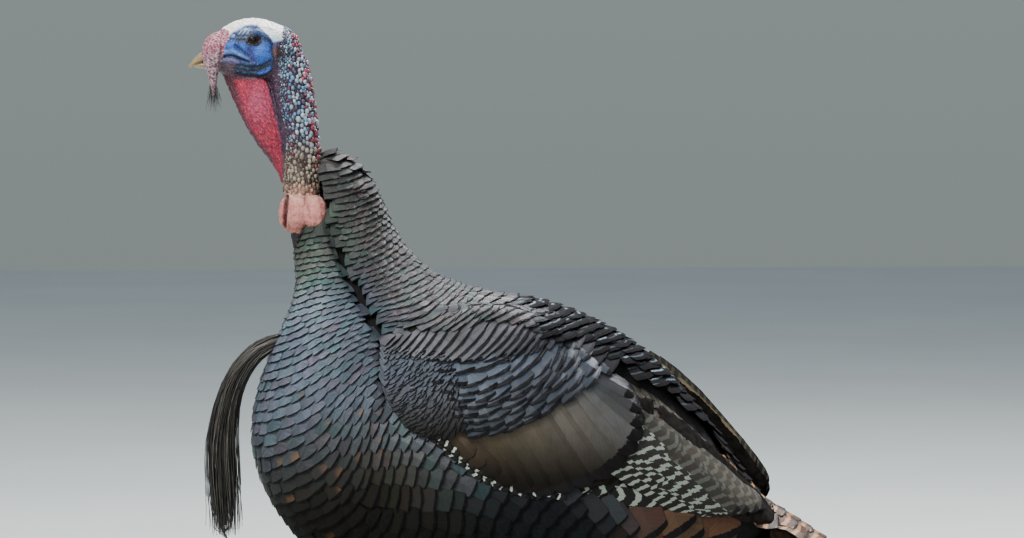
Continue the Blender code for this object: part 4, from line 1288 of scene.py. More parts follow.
class TURKEY_OT_tail(bpy.types.Operator):
    """Lays the tail feathers and the coverts over and under them"""

    bl_idname = "turkey.tail"
    bl_label = "Tail"

    def execute(self, context):
        rng = np.random.default_rng(settings().seed + 40)
        chestnut, dark = np.array(settings().chestnut), np.array(settings().dark)
        paint = vane_paint("tail_vanes", edge=(0.015, 0.010, 0.008), metallic=0.0, roughness=0.5, barbs=80.0,
                           side_edge=0.25, pale=(0.24, 0.125, 0.06), patch=(0.3, 0.15, 0.06),
                           band=(0.018, 0.013, 0.011))
        covert_paint = vane_paint("tail_covert_vanes", edge=(0.014, 0.010, 0.009), metallic=0.1,
                                  roughness=0.45, pale=(0.36, 0.20, 0.10))
        tail, coverts = Batch(), Batch()
        count = TAIL_FEATHERS
        out = (np.arange(count) + 0.5) / count
        for face, name in enumerate(("tail_top", "tail_under")):
            surface = sheet(name)
            for sign in (1, -1):
                place = np.stack([(404 - 34 * out**2), sign * (3 + 60 * out)], axis=-1) * MM
                along, across = directions(surface, place, sign * out * np.radians(4.5))
                sunk = 0.6 * out * count if not face else 0.6 * (1 - out) * count + 0.5
                points = lay(surface, LONG, place, along, across, 0.34, 0.052,
                             (-0.0035 - sunk * MM * 0.12, 0.0004 - sunk * MM * 0.25), arch=0.0012,
                             ragged=0.0003, rng=rng)
                column = (np.arange(count) + 0.5 + (count if sign < 0 else 0)) / (2 * count) * 0.5
                bake = np.stack([column + face * 0.5, np.full(count, 0.98)], axis=-1)
                tints = chestnut * rng.uniform(0.35, 0.55, (count, 1))
                tail.add(LONG, points, tints, (0.0, 0, 0.8, 30), bake, (0.5 / (2 * count) * 0.9, 0.94))
        bands = shades(rng, dark * 1.6, chestnut * 0.6, chestnut * 0.8, chestnut)
        rows_on(sheet("tail_top"), coverts, rng, BRICK, (4, 236), (60, 58, 56, 40), 18, 27, 66, (-4.5, 0.8),
                bands, (0.05, 0, 0.75, 5.0), fan=0.1)
        rows_on(sheet("tail_under"), coverts, rng, BRICK, (-60, 172), (50, 56, 50, 34), 19, 26, 60,
                (-4.5, 0.8), bands, (0.05, 0, 0.7, 5.0), fan=0.1)
        finish_piece(tail.build("tail_vanes"), "feathers", paint)
        finish_piece(coverts.build("tail_covert_vanes"), "feathers", covert_paint)
        # The vent closes the space between the coverts and the rear of the body.
        vent = Vector((ORIGIN[0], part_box("trunk")[1].y - 0.018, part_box("wing_left_flight")[0].z - 0.020))
        solids = ("tail", "tail_coverts_upper", "tail_coverts_under")
        core = remeshed(joined_copy("tail_core", solids, SKIM, [(vent, 0.028)]), CORE_VOXEL, 2)
        shrink(core, 0.0042)
        down = mottled_paint("tail_down", (0.04, 0.026, 0.018), (0.018, 0.013, 0.010), 0.8, specular=0.08)
        finish_piece(core, "feathers", down, *solids)
        return {"FINISHED"}


# ---------------------------------------------------------------- legs


THIGH_ROWS, SHANK_ROWS = 17, 34
# The columns of scutes round the shank: turn from the front and width, both in degrees.
SCUTE_COLUMNS = ((-32, 62), (32, 62), (-88, 40), (88, 40), (-128, 38), (128, 38), (180, 60))
TOES = ((-34, 62), (0, 84), (34, 66), (168, 36))  # turn in degrees and length in millimetres


class TURKEY_OT_legs(bpy.types.Operator):
    """Lays the feathers of the thighs, the scutes of the shanks and toes, and shapes the claws and spurs"""

    bl_idname = "turkey.legs"
    bl_label = "Legs"

    def execute(self, context):
        rng = np.random.default_rng(settings().seed + 50)
        plumes, scutes = Batch(), Batch()
        for mirror in (False, True):
            self.thigh(plumes, rng, mirror)
            self.shank(scutes, rng, mirror)
            self.toes(scutes, rng, mirror)
        finish_piece(plumes.build("plumage_thighs"), "feathers",
                     vane_paint("thigh_vanes", edge=(0.012, 0.010, 0.009), metallic=0.1, roughness=0.55))
        finish_piece(scutes.build("scutes"), "scales", scute_paint())
        names = [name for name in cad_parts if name.startswith(("claw_", "spur_"))]
        claws = remeshed(joined_copy("claws", names), CLAW_VOXEL, 2)
        horn = mottled_paint("claw_horn", (0.10, 0.075, 0.06), (0.03, 0.022, 0.018), 0.35, 220.0, 0.2, 0.2)
        finish_piece(claws, "horn", horn, *names)
        return {"FINISHED"}

    def thigh(self, batch, rng, mirror):
        surface, places = sheet("thigh"), []
        for row in range(THIGH_ROWS):
            count = int(round(np.interp(row, (0, THIGH_ROWS - 1), (22, 9))))
            turn = (np.arange(count) + 0.5 * (row % 2)) * 360 / count
            at, gap = np.full((2, count), [[0.25 + row * 0.295], [360 / count]])
            places.append(np.column_stack([at, turn, gap]))
        s, t, gap = np.concatenate(places).T
        place = np.stack([s, t + rng.normal(0, 2, len(t))], axis=-1)
        width = np.linalg.norm(surface.at(s, t)[2], axis=-1) * gap * 1.3
        along, across = directions(surface, place, rng.normal(0, 0.08, len(s)))
        points = lay(surface, BRICK, place, along, across, 0.034, width, (-0.006, 0.0), arch=0.001,
                     ragged=0.0006, rng=rng)
        tint = tinted(np.array(settings().dark) * 0.7, (0.045, 0.037, 0.030), eased(s, 1, 5))
        bake = np.stack([(t % 360) / 720 + 0.5 * mirror, s / 5], axis=-1)
        batch.add(BRICK, points, tint * rng.uniform(0.8, 1.3, (len(s), 1)), (0.05, 0, 0, 0), bake,
                  (0.02, 0.03), mirror)

    def shank(self, batch, rng, mirror):
        """Two columns of broad scutes down the front of the shank, smaller ones round its sides and back."""
        surface, plates = sheet("shank"), []
        for row in range(SHANK_ROWS):
            for turn, wide in SCUTE_COLUMNS:
                offset = 0.098 if abs(turn) > 60 else 0.0
                plates.append((0.35 + row * 0.196 + offset, turn, wide))
        s, t, wide = np.array(plates).T
        place = np.stack([s, t], axis=-1)
        width = np.linalg.norm(surface.at(s, t)[2], axis=-1) * wide * 1.06
        points = lay(surface, PLATE, place, *directions(surface, place), 0.0085, width, (-0.0006, 0.0005),
                     arch=0.0002)
        tint = np.array([0.36, 0.16, 0.13]) * rng.uniform(0.85, 1.15, (len(s), 1))
        bake = np.stack([(t % 360) / 720 + 0.5 * mirror, s / 9], axis=-1)
        batch.add(PLATE, points, tint, (0, 0, 0, 0), bake, (0.03, 0.012), mirror)

    def toes(self, batch, rng, mirror):
        surface = sheet("foot")
        for turn, length in TOES:
            angle = math.radians(turn)
            ray = np.array([math.sin(angle), -math.cos(angle)])
            count = int(length / 3.6)
            reach = np.linspace(14, length - 3, count)[:, None]
            place = (np.array([0, 108]) + ray * reach) * MM
            along, across = directions(surface, place, -math.pi / 2 + angle)
            points = lay(surface, PLATE, place, along, across, 0.0056, np.linspace(0.0125, 0.0085, count),
                         (-0.0004, 0.0005), arch=0.0003)
            tint = np.array([0.33, 0.15, 0.125]) * rng.uniform(0.85, 1.15, (count, 1))
            bake = np.stack([place[:, 0] * 3 + 0.25 + 0.5 * mirror, place[:, 1] * 4 + 0.1], axis=-1)
            batch.add(PLATE, points, tint, (0, 0, 0, 0), bake, (0.012, 0.012), mirror)


# ---------------------------------------------------------------- beard and other hairs

# The beard's line, with (y, z) and then its half width across the bird and along it.
BEARD = (
    (-146, 553, 9, 8), (-176, 541, 11, 11), (-199, 514, 12, 14), (-212, 478, 12.5, 16), (-217, 438, 13, 18),
    (-216, 398, 12, 18), (-214, 362, 9, 16), (-214, 336, 7, 14),
)


def hairs(name, lines, radii, tints, sides=3):
    """Tapered bristles as one mesh: lines is (hairs, places, 3), radii one at each place of each hair."""
    count, rings, _ = lines.shape
    run = unit(np.gradient(lines, axis=1))
    side = unit(np.cross(run, np.array([0.31, 0.87, 0.38])))
    other = np.cross(run, side)
    turns = np.arange(sides) * 2 * math.pi / sides
    points = lines[:, :, None] + radii[..., None, None] * (
        side[:, :, None] * np.cos(turns)[:, None] + other[:, :, None] * np.sin(turns)[:, None])
    faces = tube_faces(rings, sides)
    faces += [tuple(range(sides))[::-1], tuple(range((rings - 1) * sides, rings * sides))]
    root = lines[:, 0]
    low, high = root.min(0), root.max(0)
    spread = (root - low) / np.maximum(high - low, 1e-6) * 0.94 + 0.03
    patch = np.stack([np.repeat(np.linspace(0, 1, rings), sides), np.tile(turns / TURN, rings)], axis=-1)
    uv = np.repeat(spread[:, 1:], rings * sides, axis=0) + np.tile(patch, (count, 1)) * 0.003
    return repeated(name, points.reshape(count, -1, 3), faces, tints, uv)


class TURKEY_OT_beard(bpy.types.Operator):
    """Hangs the beard: coarse bristles in one bundle from the breast"""

    bl_idname = "turkey.beard"
    bl_label = "Beard"

    def execute(self, context):
        rng = np.random.default_rng(settings().seed + 60)
        count, rings = settings().beard_hairs, 12
        angle, reach = rng.uniform(0, 2 * math.pi, count), np.sqrt(rng.uniform(0, 1, count))
        spread = np.stack([np.cos(angle), np.sin(angle)], axis=-1) * reach[:, None]
        long = np.clip(rng.beta(5, 1.4, count) * 1.06, 0.35, 1.03)
        share = np.linspace(0, 1, rings)[None] * long[:, None]
        row, ahead = (curve(BEARD, share * (len(BEARD) - 1) + step) for step in (0, 0.05))
        flat = np.zeros((*share.shape, 1))
        run = unit(np.concatenate([flat, (ahead - row)[..., :2]], axis=-1) + 1e-9)
        out = np.array([1.0, 0, 0])
        across = np.cross(run, out)
        drift = rng.normal(0, 0.22, (count, 1, 2)) * (share**2)[..., None] * 1.6
        turns, start = rng.uniform(6, 16, (count, 1, 2)), rng.uniform(0, 6, (count, 1, 2))
        wave = 0.05 * np.sin(share[..., None] * turns + start)
        offset = spread[:, None] * 0.86 + drift + wave
        centre = np.concatenate([flat, row[..., :2]], axis=-1)
        lines = centre + out * (offset[..., :1] * row[..., 2:3]) + across * (offset[..., 1:] * row[..., 3:4])
        radii = np.interp(share, (0, 0.7, 1.05), (0.62, 0.5, 0.16)) * rng.uniform(0.75, 1.2, (count, 1)) * MM
        tints = tinted((0.035, 0.032, 0.029), (0.19, 0.175, 0.15), rng.uniform(0, 1, count) ** 2.2)
        piece = hairs("beard_bristles", lines * MM + ORIGIN, radii, tints)
        finish_piece(piece, "bristle", hair_paint("beard_bristle", 0.45), "beard")
        return {"FINISHED"}


# ---------------------------------------------------------------- skin


def joined_copy(name, nodes, push=0.0, balls=()):
    """One mesh object from copies of these solids, merged and pushed outwards, with balls added to it."""
    shape = bmesh.new()
    for node in nodes:
        shape.from_mesh(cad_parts[node].data)
    bmesh.ops.remove_doubles(shape, verts=shape.verts, dist=0.00002)
    bmesh.ops.recalc_face_normals(shape, faces=shape.faces)
    shape.normal_update()
    for vert in shape.verts:
        vert.co += vert.normal * push
    for centre, radius in balls:
        bmesh.ops.create_icosphere(shape, subdivisions=4, radius=radius, matrix=Matrix.Translation(centre))
    mesh = bpy.data.meshes.new(name)
    shape.to_mesh(mesh)
    shape.free()
    return new_object(name, mesh)


def remeshed(piece, voxel, smooth):
    """The piece as one even closed surface, with its modifiers applied."""
    change = piece.modifiers.new("remesh", "REMESH")
    change.mode = "VOXEL"
    change.voxel_size = voxel
    relax = piece.modifiers.new("relax", "SMOOTH")
    relax.factor, relax.iterations = 0.5, smooth
    bpy.context.view_layer.update()
    graph = bpy.context.evaluated_depsgraph_get()
    mesh = bpy.data.meshes.new_from_object(piece.evaluated_get(graph))
    piece.modifiers.clear()
    piece.data = mesh
    mesh.polygons.foreach_set("use_smooth", np.ones(len(mesh.polygons), bool))
    return piece


def read_points(mesh):
    co, normal = np.zeros(len(mesh.vertices) * 3), np.zeros(len(mesh.vertices) * 3)
    mesh.vertices.foreach_get("co", co)
    mesh.vertices.foreach_get("normal", normal)
    return co.reshape(-1, 3), normal.reshape(-1, 3)


def write_points(mesh, co):
    mesh.vertices.foreach_set("co", np.asarray(co).ravel())
    mesh.update()


def shrink(piece, depth, shift=Vector()):
    co, normal = read_points(piece.data)
    write_points(piece.data, co - normal * depth + np.array(shift))


def speckle(points, scale):
    """Noise at each place, over this many millimetres."""
    return np.array([noise.noise(Vector(p) / scale) for p in points])


def cell_lines(points, scale, width):
    """1 on the borders between cells of this size in millimetres, and 0 inside them."""
    nearest = (noise.voronoi(Vector(p) / scale)[0] for p in points)
    return 1 - np.clip(np.array([d[1] - d[0] for d in nearest]) / width, 0, 1)


BROW = ((-207, 884), (-196, 888), (-184, 890), (-172, 887), (-165, 881))
LID_FOLD = ((-201, 884), (-191, 884.5), (-182, 886), (-172, 882.5), (-164, 878))
UNDER_EYE = ((-202, 874.5), (-194, 867.5), (-187, 863))
NOSE_FOLD = ((-187, 871), (-184.5, 864), (-183, 857))
LIP = ((-214, 867), (-205, 868), (-197, 863.5), (-188, 858.5))
GAPE = ((-217, 861), (-206, 862.5), (-198, 860), (-188, 856.5))
LOW_LIP = ((-215, 857.5), (-206, 858), (-199, 855.5))
CHEEK_FOLD = ((-200, 853), (-187, 850), (-175, 850.5), (-163, 857))
CHEEK_LOW = ((-202, 848), (-187, 845.5), (-178, 846), (-165, 852))
CRESCENT = ((-176, 843.5), (-169, 845), (-163, 849))
JAW = ((-199, 842.5), (-189, 840), (-175, 840), (-165, 842), (-160.5, 849), (-159.5, 856))
EAR = (-157, 867)
EAR_FRONT = ((-161, 876), (-161.5, 869), (-159.5, 863), (-158, 853), (-159, 842))
# The folds between the lobes, and how deep each is.
CLEFTS = (
    (((-146, 709), (-147.5, 697), (-148.5, 686), (-148, 675)), 2.2),
    (((-126, 706), (-124, 698), (-121.5, 686)), 0.3),
)
# What stands out of the face, or is sunk in it: millimetres, then a line and its width, or a spot.
FACE_RELIEF = (
    (1.6, BROW, 3.0), (-1.0, LID_FOLD, 1.3), (-1.2, -182, 879, 10, 6), (1.6, -207, 873.5, 7, 4),
    (2.3, -171, 866, 7, 7), (1.0, -193, 872, 5, 3), (-1.5, UNDER_EYE, 1.3), (-1.5, NOSE_FOLD, 1.5),
    (1.3, LIP, 1.8), (-2.6, GAPE, 1.3), (1.3, LOW_LIP, 1.8), (-1.6, CHEEK_FOLD, 1.4), (-1.2, CHEEK_LOW, 1.3),
    (1.4, CRESCENT, 2.2), (-1.8, EAR_FRONT, 1.6), (1.0, -180, 853.5, 9, 2), (-1.5, -156, 867, 4, 5),
)
LOBE_SKIN = ((-117, 691, 17, 21), (-130, 691, 21, 21), (-144, 690, 12, 21))
# The lower edge of the white crown, as y and the height there.
CROWN_Y = (-222, -216, -213, -205, -194, -186, -178, -172, -165, -161, -150, -146)
CROWN_LOW = (880, 880, 881, 887, 894, 896, 895.5, 890, 883, 877, 879, 883)
SNOOD = (
    (-214, 885, 7), (-221, 880, 10), (-225.5, 872, 12.5), (-226.5, 864, 12), (-227, 854, 9), (-226, 845, 7),
    (-226, 834, 5), (-225.5, 815, 3.5),
)
# Heights along the neck, and where at each height the warty skin, its beads and the dewlap's dark rim begin.
NECK_Z = (700, 727, 749, 771, 793, 814, 838, 850, 870, 892)
NECK_Y = (-152, -149, -150, -152, -157, -162, -167, -161, -158, -150)
BEADS_Y = (-149, -149, -147, -146, -149, -153, -155, -155, -153, -149)
RIM_Z, RIM_Y = (751, 771, 786, 810, 830, 845), (-161, -177, -188, -197, -200, -208)


def slanted(p, degrees, stretch):
    """The places turned so that noise on them is drawn out along a slope seen from the side."""
    c, s = math.cos(math.radians(degrees)), math.sin(math.radians(degrees))
    return np.column_stack([p[:, 0], (p[:, 1] * c + p[:, 2] * s) / stretch, p[:, 2] * c - p[:, 1] * s])


def face_regions(p):
    """Shares of each place in the parts of the head and neck, from its place in millimetres."""
    x, y, z = np.abs(p[:, 0]), p[:, 1], p[:, 2]
    part = {}
    snood = np.zeros(len(p))
    for cy, cz, r in curve(SNOOD, np.linspace(0, len(SNOOD) - 1, 36)):
        snood = np.maximum(snood, ((y - cy) ** 2 + (z - cz) ** 2 < r * r) * 1.0)
    part["snood"] = snood * (p[:, 0] > np.interp(z, (850, 866, 884), (2, 4, -4))) * (y < -208)
    part["lobes"] = in_ovals(LOBE_SKIN, y, z, 1.15) * 1.0 * (z < 713)
    neck_front = np.interp(z, NECK_Z, NECK_Y)
    part["neck"] = eased(y, neck_front - 2, neck_front + 2) * (z < 893)
    part["dewlap"] = eased(z, 843, 839) * (1 - part["neck"]) * (1 - part["lobes"])
    crown_low = np.interp(y, CROWN_Y, CROWN_LOW)
    part["crown"] = eased(z, crown_low - 1.0, crown_low + 2.0) * (1 - part["snood"])
    part["side"] = eased(x, 4, 9)
    return part


def skin_relief(p):
    """How far the skin stands out at each place, in millimetres."""
    part = face_regions(p)
    face = part["side"] * (1 - part["snood"]) * (1 - part["neck"]) * (p[:, 2] > 838)
    out = face * sum(
        height * (crease if len(shape) == 2 else spot)(p, *shape) for height, *shape in FACE_RELIEF)
    out -= 1.6 * crease(p, JAW, 1.7) * part["side"]
    wrinkle = speckle(p, 5.0) * 0.45 + speckle(p, 2.2) * 0.32
    net = cell_lines(p, 3.2, 0.30)
    slant = cell_lines(slanted(p, -56, 2.4), 3.0, 0.28)
    level = cell_lines(slanted(p, 4, 1.7), 2.2, 0.34)
    cleft = sum(crease(p, line, 1.7) * depth for line, depth in CLEFTS) * (p[:, 2] < 712)
    out += (1 - part["snood"]) * wrinkle
    out += part["snood"] * (0.1 + 0.7 * level)
    out += part["dewlap"] * (1 - part["snood"]) * (0.45 - 1.0 * slant) * 0.8
    out += part["lobes"] * (0.5 - 2.6 * cleft - 0.3 * net + 0.4 * speckle(p, 4.0))
    out += part["neck"] * (1 - part["lobes"]) * (0.3 - 0.8 * net)
    return out, part, {"net": net, "slant": slant, "level": level, "cleft": cleft}


def layered(colour, *coats):
    """A colour under coats of other colours, each given after its share."""
    for share, tone in coats:
        colour = tinted(colour, tone, np.clip(share, 0, 1))
    return colour


def paint_skin(p, part, lines):
    """The colour of the bare skin at each place, in millimetres."""
    x, y, z = np.abs(p[:, 0]), p[:, 1], p[:, 2]
    cloud, fine = (speckle(p, scale) * 0.5 + 0.5 for scale in (9.0, 2.6))
    streak = speckle(slanted(p, 42, 5.0), 1.5) * 0.5 + 0.5
    shade = tinted((0.008, 0.010, 0.028), (0.014, 0.018, 0.045), fine)
    bright = tinted((0.025, 0.085, 0.34), (0.05, 0.15, 0.46), fine)
    maroon = tinted((0.05, 0.012, 0.025), (0.13, 0.04, 0.055), fine)
    throat = layered(
        tinted((0.20, 0.012, 0.035), (0.44, 0.035, 0.06), cloud),
        (eased(fine, 0.5, 0.8) * 0.8 * eased(z, 730, 800), (0.58, 0.09, 0.10)),
        (spot(p, -176, 812, 16, 24) * 0.7, (0.40, 0.09, 0.16)),
        # Painted shade in the dewlap's slanting wrinkles.
        (lines["slant"] * mixed(0.75, 0.4, eased(z, 770, 820)), (0.085, 0.008, 0.028)),
    )
    rim = np.interp(z, RIM_Z, RIM_Y)
    # The neck between its beads, dark purple that is partly painted shade between them, and the plain dark
    # strip before them.
    behind = np.interp(z, (700, 760, 850, 880), (-120, -122, -132, -142))
    neck = layered(
        tinted((0.030, 0.016, 0.034), (0.075, 0.034, 0.06), cloud),
        (eased(y, behind - 3, behind + 5) * 0.7, (0.13, 0.03, 0.035)),
        (eased(z, 765, 735), (0.10, 0.065, 0.048)),
        (eased(z, 726, 716), (0.36, 0.20, 0.15)),
        # Painted shade: near black under the feathers of the collar.
        (eased(z, 676, 668), (0.020, 0.019, 0.018)),
    )
    # The crown: warm white, pale blue along its lower edge behind the eye.
    crown = layered(
        tinted((0.80, 0.77, 0.70), (0.58, 0.64, 0.66), fine * 0.8),
        (eased(z, 890, 880) * eased(y, -174, -168) * 0.85, (0.36, 0.56, 0.62)),
        (eased(y, -158, -146) * eased(fine, 0.4, 0.6) * 0.8, (0.62, 0.26, 0.30)),
    )
    # The lobes are pink, paler on top as a painted highlight and darker at the lower edge, with painted shade
    # in their creases and clefts.
    lobes = layered(
        tinted((0.44, 0.17, 0.145), (0.60, 0.29, 0.25), cloud),
        (eased(z, 698, 712) * 0.7, (0.62, 0.42, 0.33)),
        (eased(z, 684, 673) * 0.6, (0.34, 0.12, 0.08)),
        (lines["net"] * 0.25, (0.26, 0.08, 0.07)),
        (np.clip(lines["cleft"], 0, 1) * 0.9, (0.10, 0.03, 0.03)),
    )
    snood = layered(
        tinted((0.26, 0.045, 0.09), (0.12, 0.05, 0.075), eased(z, 876, 856)),
        (eased(lines["level"], 0.3, 0.85) * 0.7, (0.54, 0.42, 0.43)),
        (eased(z, 838, 822) * 0.7, (0.12, 0.085, 0.09)),
    )
    folds = ((LID_FOLD, 1.6, 0.9), (UNDER_EYE, 1.5, 0.8), (CHEEK_FOLD, 1.7, 0.9), (CHEEK_LOW, 1.6, 0.8),
             (GAPE, 1.8, 1.0), (EAR_FRONT, 2.2, 0.9))
    return layered(
        tinted((0.010, 0.026, 0.09), (0.025, 0.07, 0.24), cloud),
        # The face's own blue, painted lighter on its bulges, along the lip and on the crescent as painted
        # highlights.
        (spot(p, -206, 873.5, 9, 4.5) * 1.3, bright),
        (spot(p, -172, 867, 9.5, 9) * 1.5, bright),
        (spot(p, -192, 871, 7, 4) * 1.1, bright),
        (crease(p, LIP, 2.6) * 0.9, tinted(bright, (0.24, 0.38, 0.64), 0.35)),
        (crease(p, CRESCENT, 2.8), bright),
        (eased(z, 856, 852) * 0.85 * (1 - crease(p, CRESCENT, 3.2)),
         tinted((0.012, 0.022, 0.04), (0.035, 0.10, 0.19), eased(fine, 0.45, 0.75))),
        (eased(y, -197, -206) * eased(z, 857, 853), tinted((0.05, 0.024, 0.036), (0.11, 0.07, 0.09), fine)),
        # Fine pale streaks run up from the lore to the crown, over dark blue that is partly painted shadow
        # under the brow.
        (eased(z, 881, 884), tinted((0.014, 0.03, 0.09), (0.04, 0.09, 0.24), fine)),
        (eased(z, 881, 885) * eased(streak, 0.46, 0.62) * eased(y, -181, -190) * 0.85, (0.40, 0.50, 0.62)),
        *((crease(p, line, width) * share, shade) for line, width, share in folds),
        # Dark purple along the nose fold, partly its own colour and partly painted shade.
        (crease(p, NOSE_FOLD, 2.4) * 0.8, (0.055, 0.035, 0.14)),
        (crease(p, LOW_LIP, 2.0) * 0.85, (0.16, 0.13, 0.23)),
        (spot(p, *EAR, 4.5, 5.5) * 1.3, tinted((0.07, 0.03, 0.02), (0.26, 0.15, 0.11), fine)),
        (part["dewlap"], throat),
        (part["dewlap"] * eased(y, rim + 3.5, rim - 2) * 0.92, maroon),
        # Painted shadow under the jaw's edge: the top of the dewlap and the jaw's crease are darkened.
        (part["dewlap"] * eased(z, 834, 840), (0.030, 0.014, 0.026)),
        (crease(p, JAW, 2.0) * part["side"] * (z < 848), (0.020, 0.010, 0.020)),
        (part["dewlap"] * eased(x, 8, 3) * 0.6, maroon),
        (part["neck"], neck),
        (part["crown"], crown),
        (part["lobes"], lobes),
        (part["snood"], snood),
    )


LID_HALF, LID_UP, LID_DOWN = 7.6, 4.0, 4.9
LID_MIDDLE, LID_SHADE_REACH = (-182, 879), (9.4, 6.0)  # the middle of the dark round the lids, and how far it goes: dark lid skin and painted shade of the socket


def almond(p):
    """Less than 1 inside the opening of the lids, seen from the side; p is in millimetres."""
    y, z = p[:, 1] - EYE[1] / MM, p[:, 2] - EYE[2] / MM
    z = z - y * 0.08
    rise = np.where(z > 0, LID_UP, LID_DOWN) * np.clip(1 - (y / LID_HALF) ** 2, 0.001, 1)
    return np.where(abs(y) < LID_HALF, abs(z) / rise, 9.0)


def scatter(points, radius_at, rng):
    """Picks places so that none lies nearer to another than their spacing there."""
    order = rng.permutation(len(points))
    cell = 0.006
    taken, chosen = {}, []
    for i in order:
        gap = radius_at[i]
        if gap <= 0:
            continue
        key = tuple((points[i] / cell).astype(int))
        near = [j for a in (-1, 0, 1) for b in (-1, 0, 1) for c in (-1, 0, 1)
                for j in taken.get((key[0] + a, key[1] + b, key[2] + c), ())]
        if all(((points[i] - points[j]) ** 2).sum() > (0.5 * (gap + radius_at[j])) ** 2 for j in near):
            taken.setdefault(key, []).append(i)
            chosen.append(i)
    return np.array(chosen)


def domes(name, points, normals, tall, sizes, tints):
    """Small round beads as one mesh; tall is the way each is drawn out, sizes its three half sizes."""
    rings, sides = 5, 9
    up = unit(normals)
    side = unit(np.cross(tall, up))
    axes = (np.cross(up, side), side, up)
    heights = np.linspace(-0.35, 1, rings)[:-1] * math.pi / 2
    turns = np.arange(sides) * 2 * math.pi / sides
    u = [(math.cos(a) * math.cos(b), math.cos(a) * math.sin(b), math.sin(a)) for a in heights for b in turns]
    u = np.array([*u, (0, 0, 1)])
    made = points[:, None] + sum(
        axis[:, None] * (u[:, k:k + 1] * sizes[:, None, k:k + 1]) for k, axis in enumerate(axes))
    last, apex = (rings - 2) * sides, len(u) - 1
    faces = tube_faces(rings - 1, sides)
    faces += [(last + k, last + (k + 1) % sides, apex) for k in range(sides)]
    faces.append(tuple(range(sides))[::-1])
    # The three axes turn the other way round, so each face is turned back.
    faces = [face[::-1] for face in faces]
    turn = np.arctan2(points[:, 0] - ORIGIN[0], points[:, 1] - ORIGIN[1] + 0.14) / (2 * math.pi) + 0.5
    height = (points[:, 2] - 0.66) / 0.26
    uv = np.repeat(np.stack([turn, height], axis=-1), len(u), axis=0)
    uv = np.clip(uv + np.tile(u[:, :2], (len(points), 1)) * 0.0015, 0.002, 0.998)
    return repeated(name, made, faces, tints, uv)


BEAD_SPACING = 1.5  # how far beads lie apart, in their own half sizes
LID_CORNER = ((-200, 880.5), (-192, 881), (-186, 882))
FLESH_BODY = ("trunk", "neck_plumed", "thigh_left", "thigh_right")
FLESH_BARE = ("head", "neck_bare", "dewlap", "snood", "caruncle_left", "caruncle_left_rear", "caruncle_right",
              "caruncle_front")
FLESH_LEGS = ("shank_left", "shank_right", "foot_left", "foot_right")
BILL_SEAM = ((-225, 856.5), (-240, 855.5), (-250, 851.5), (-254, 848.5))


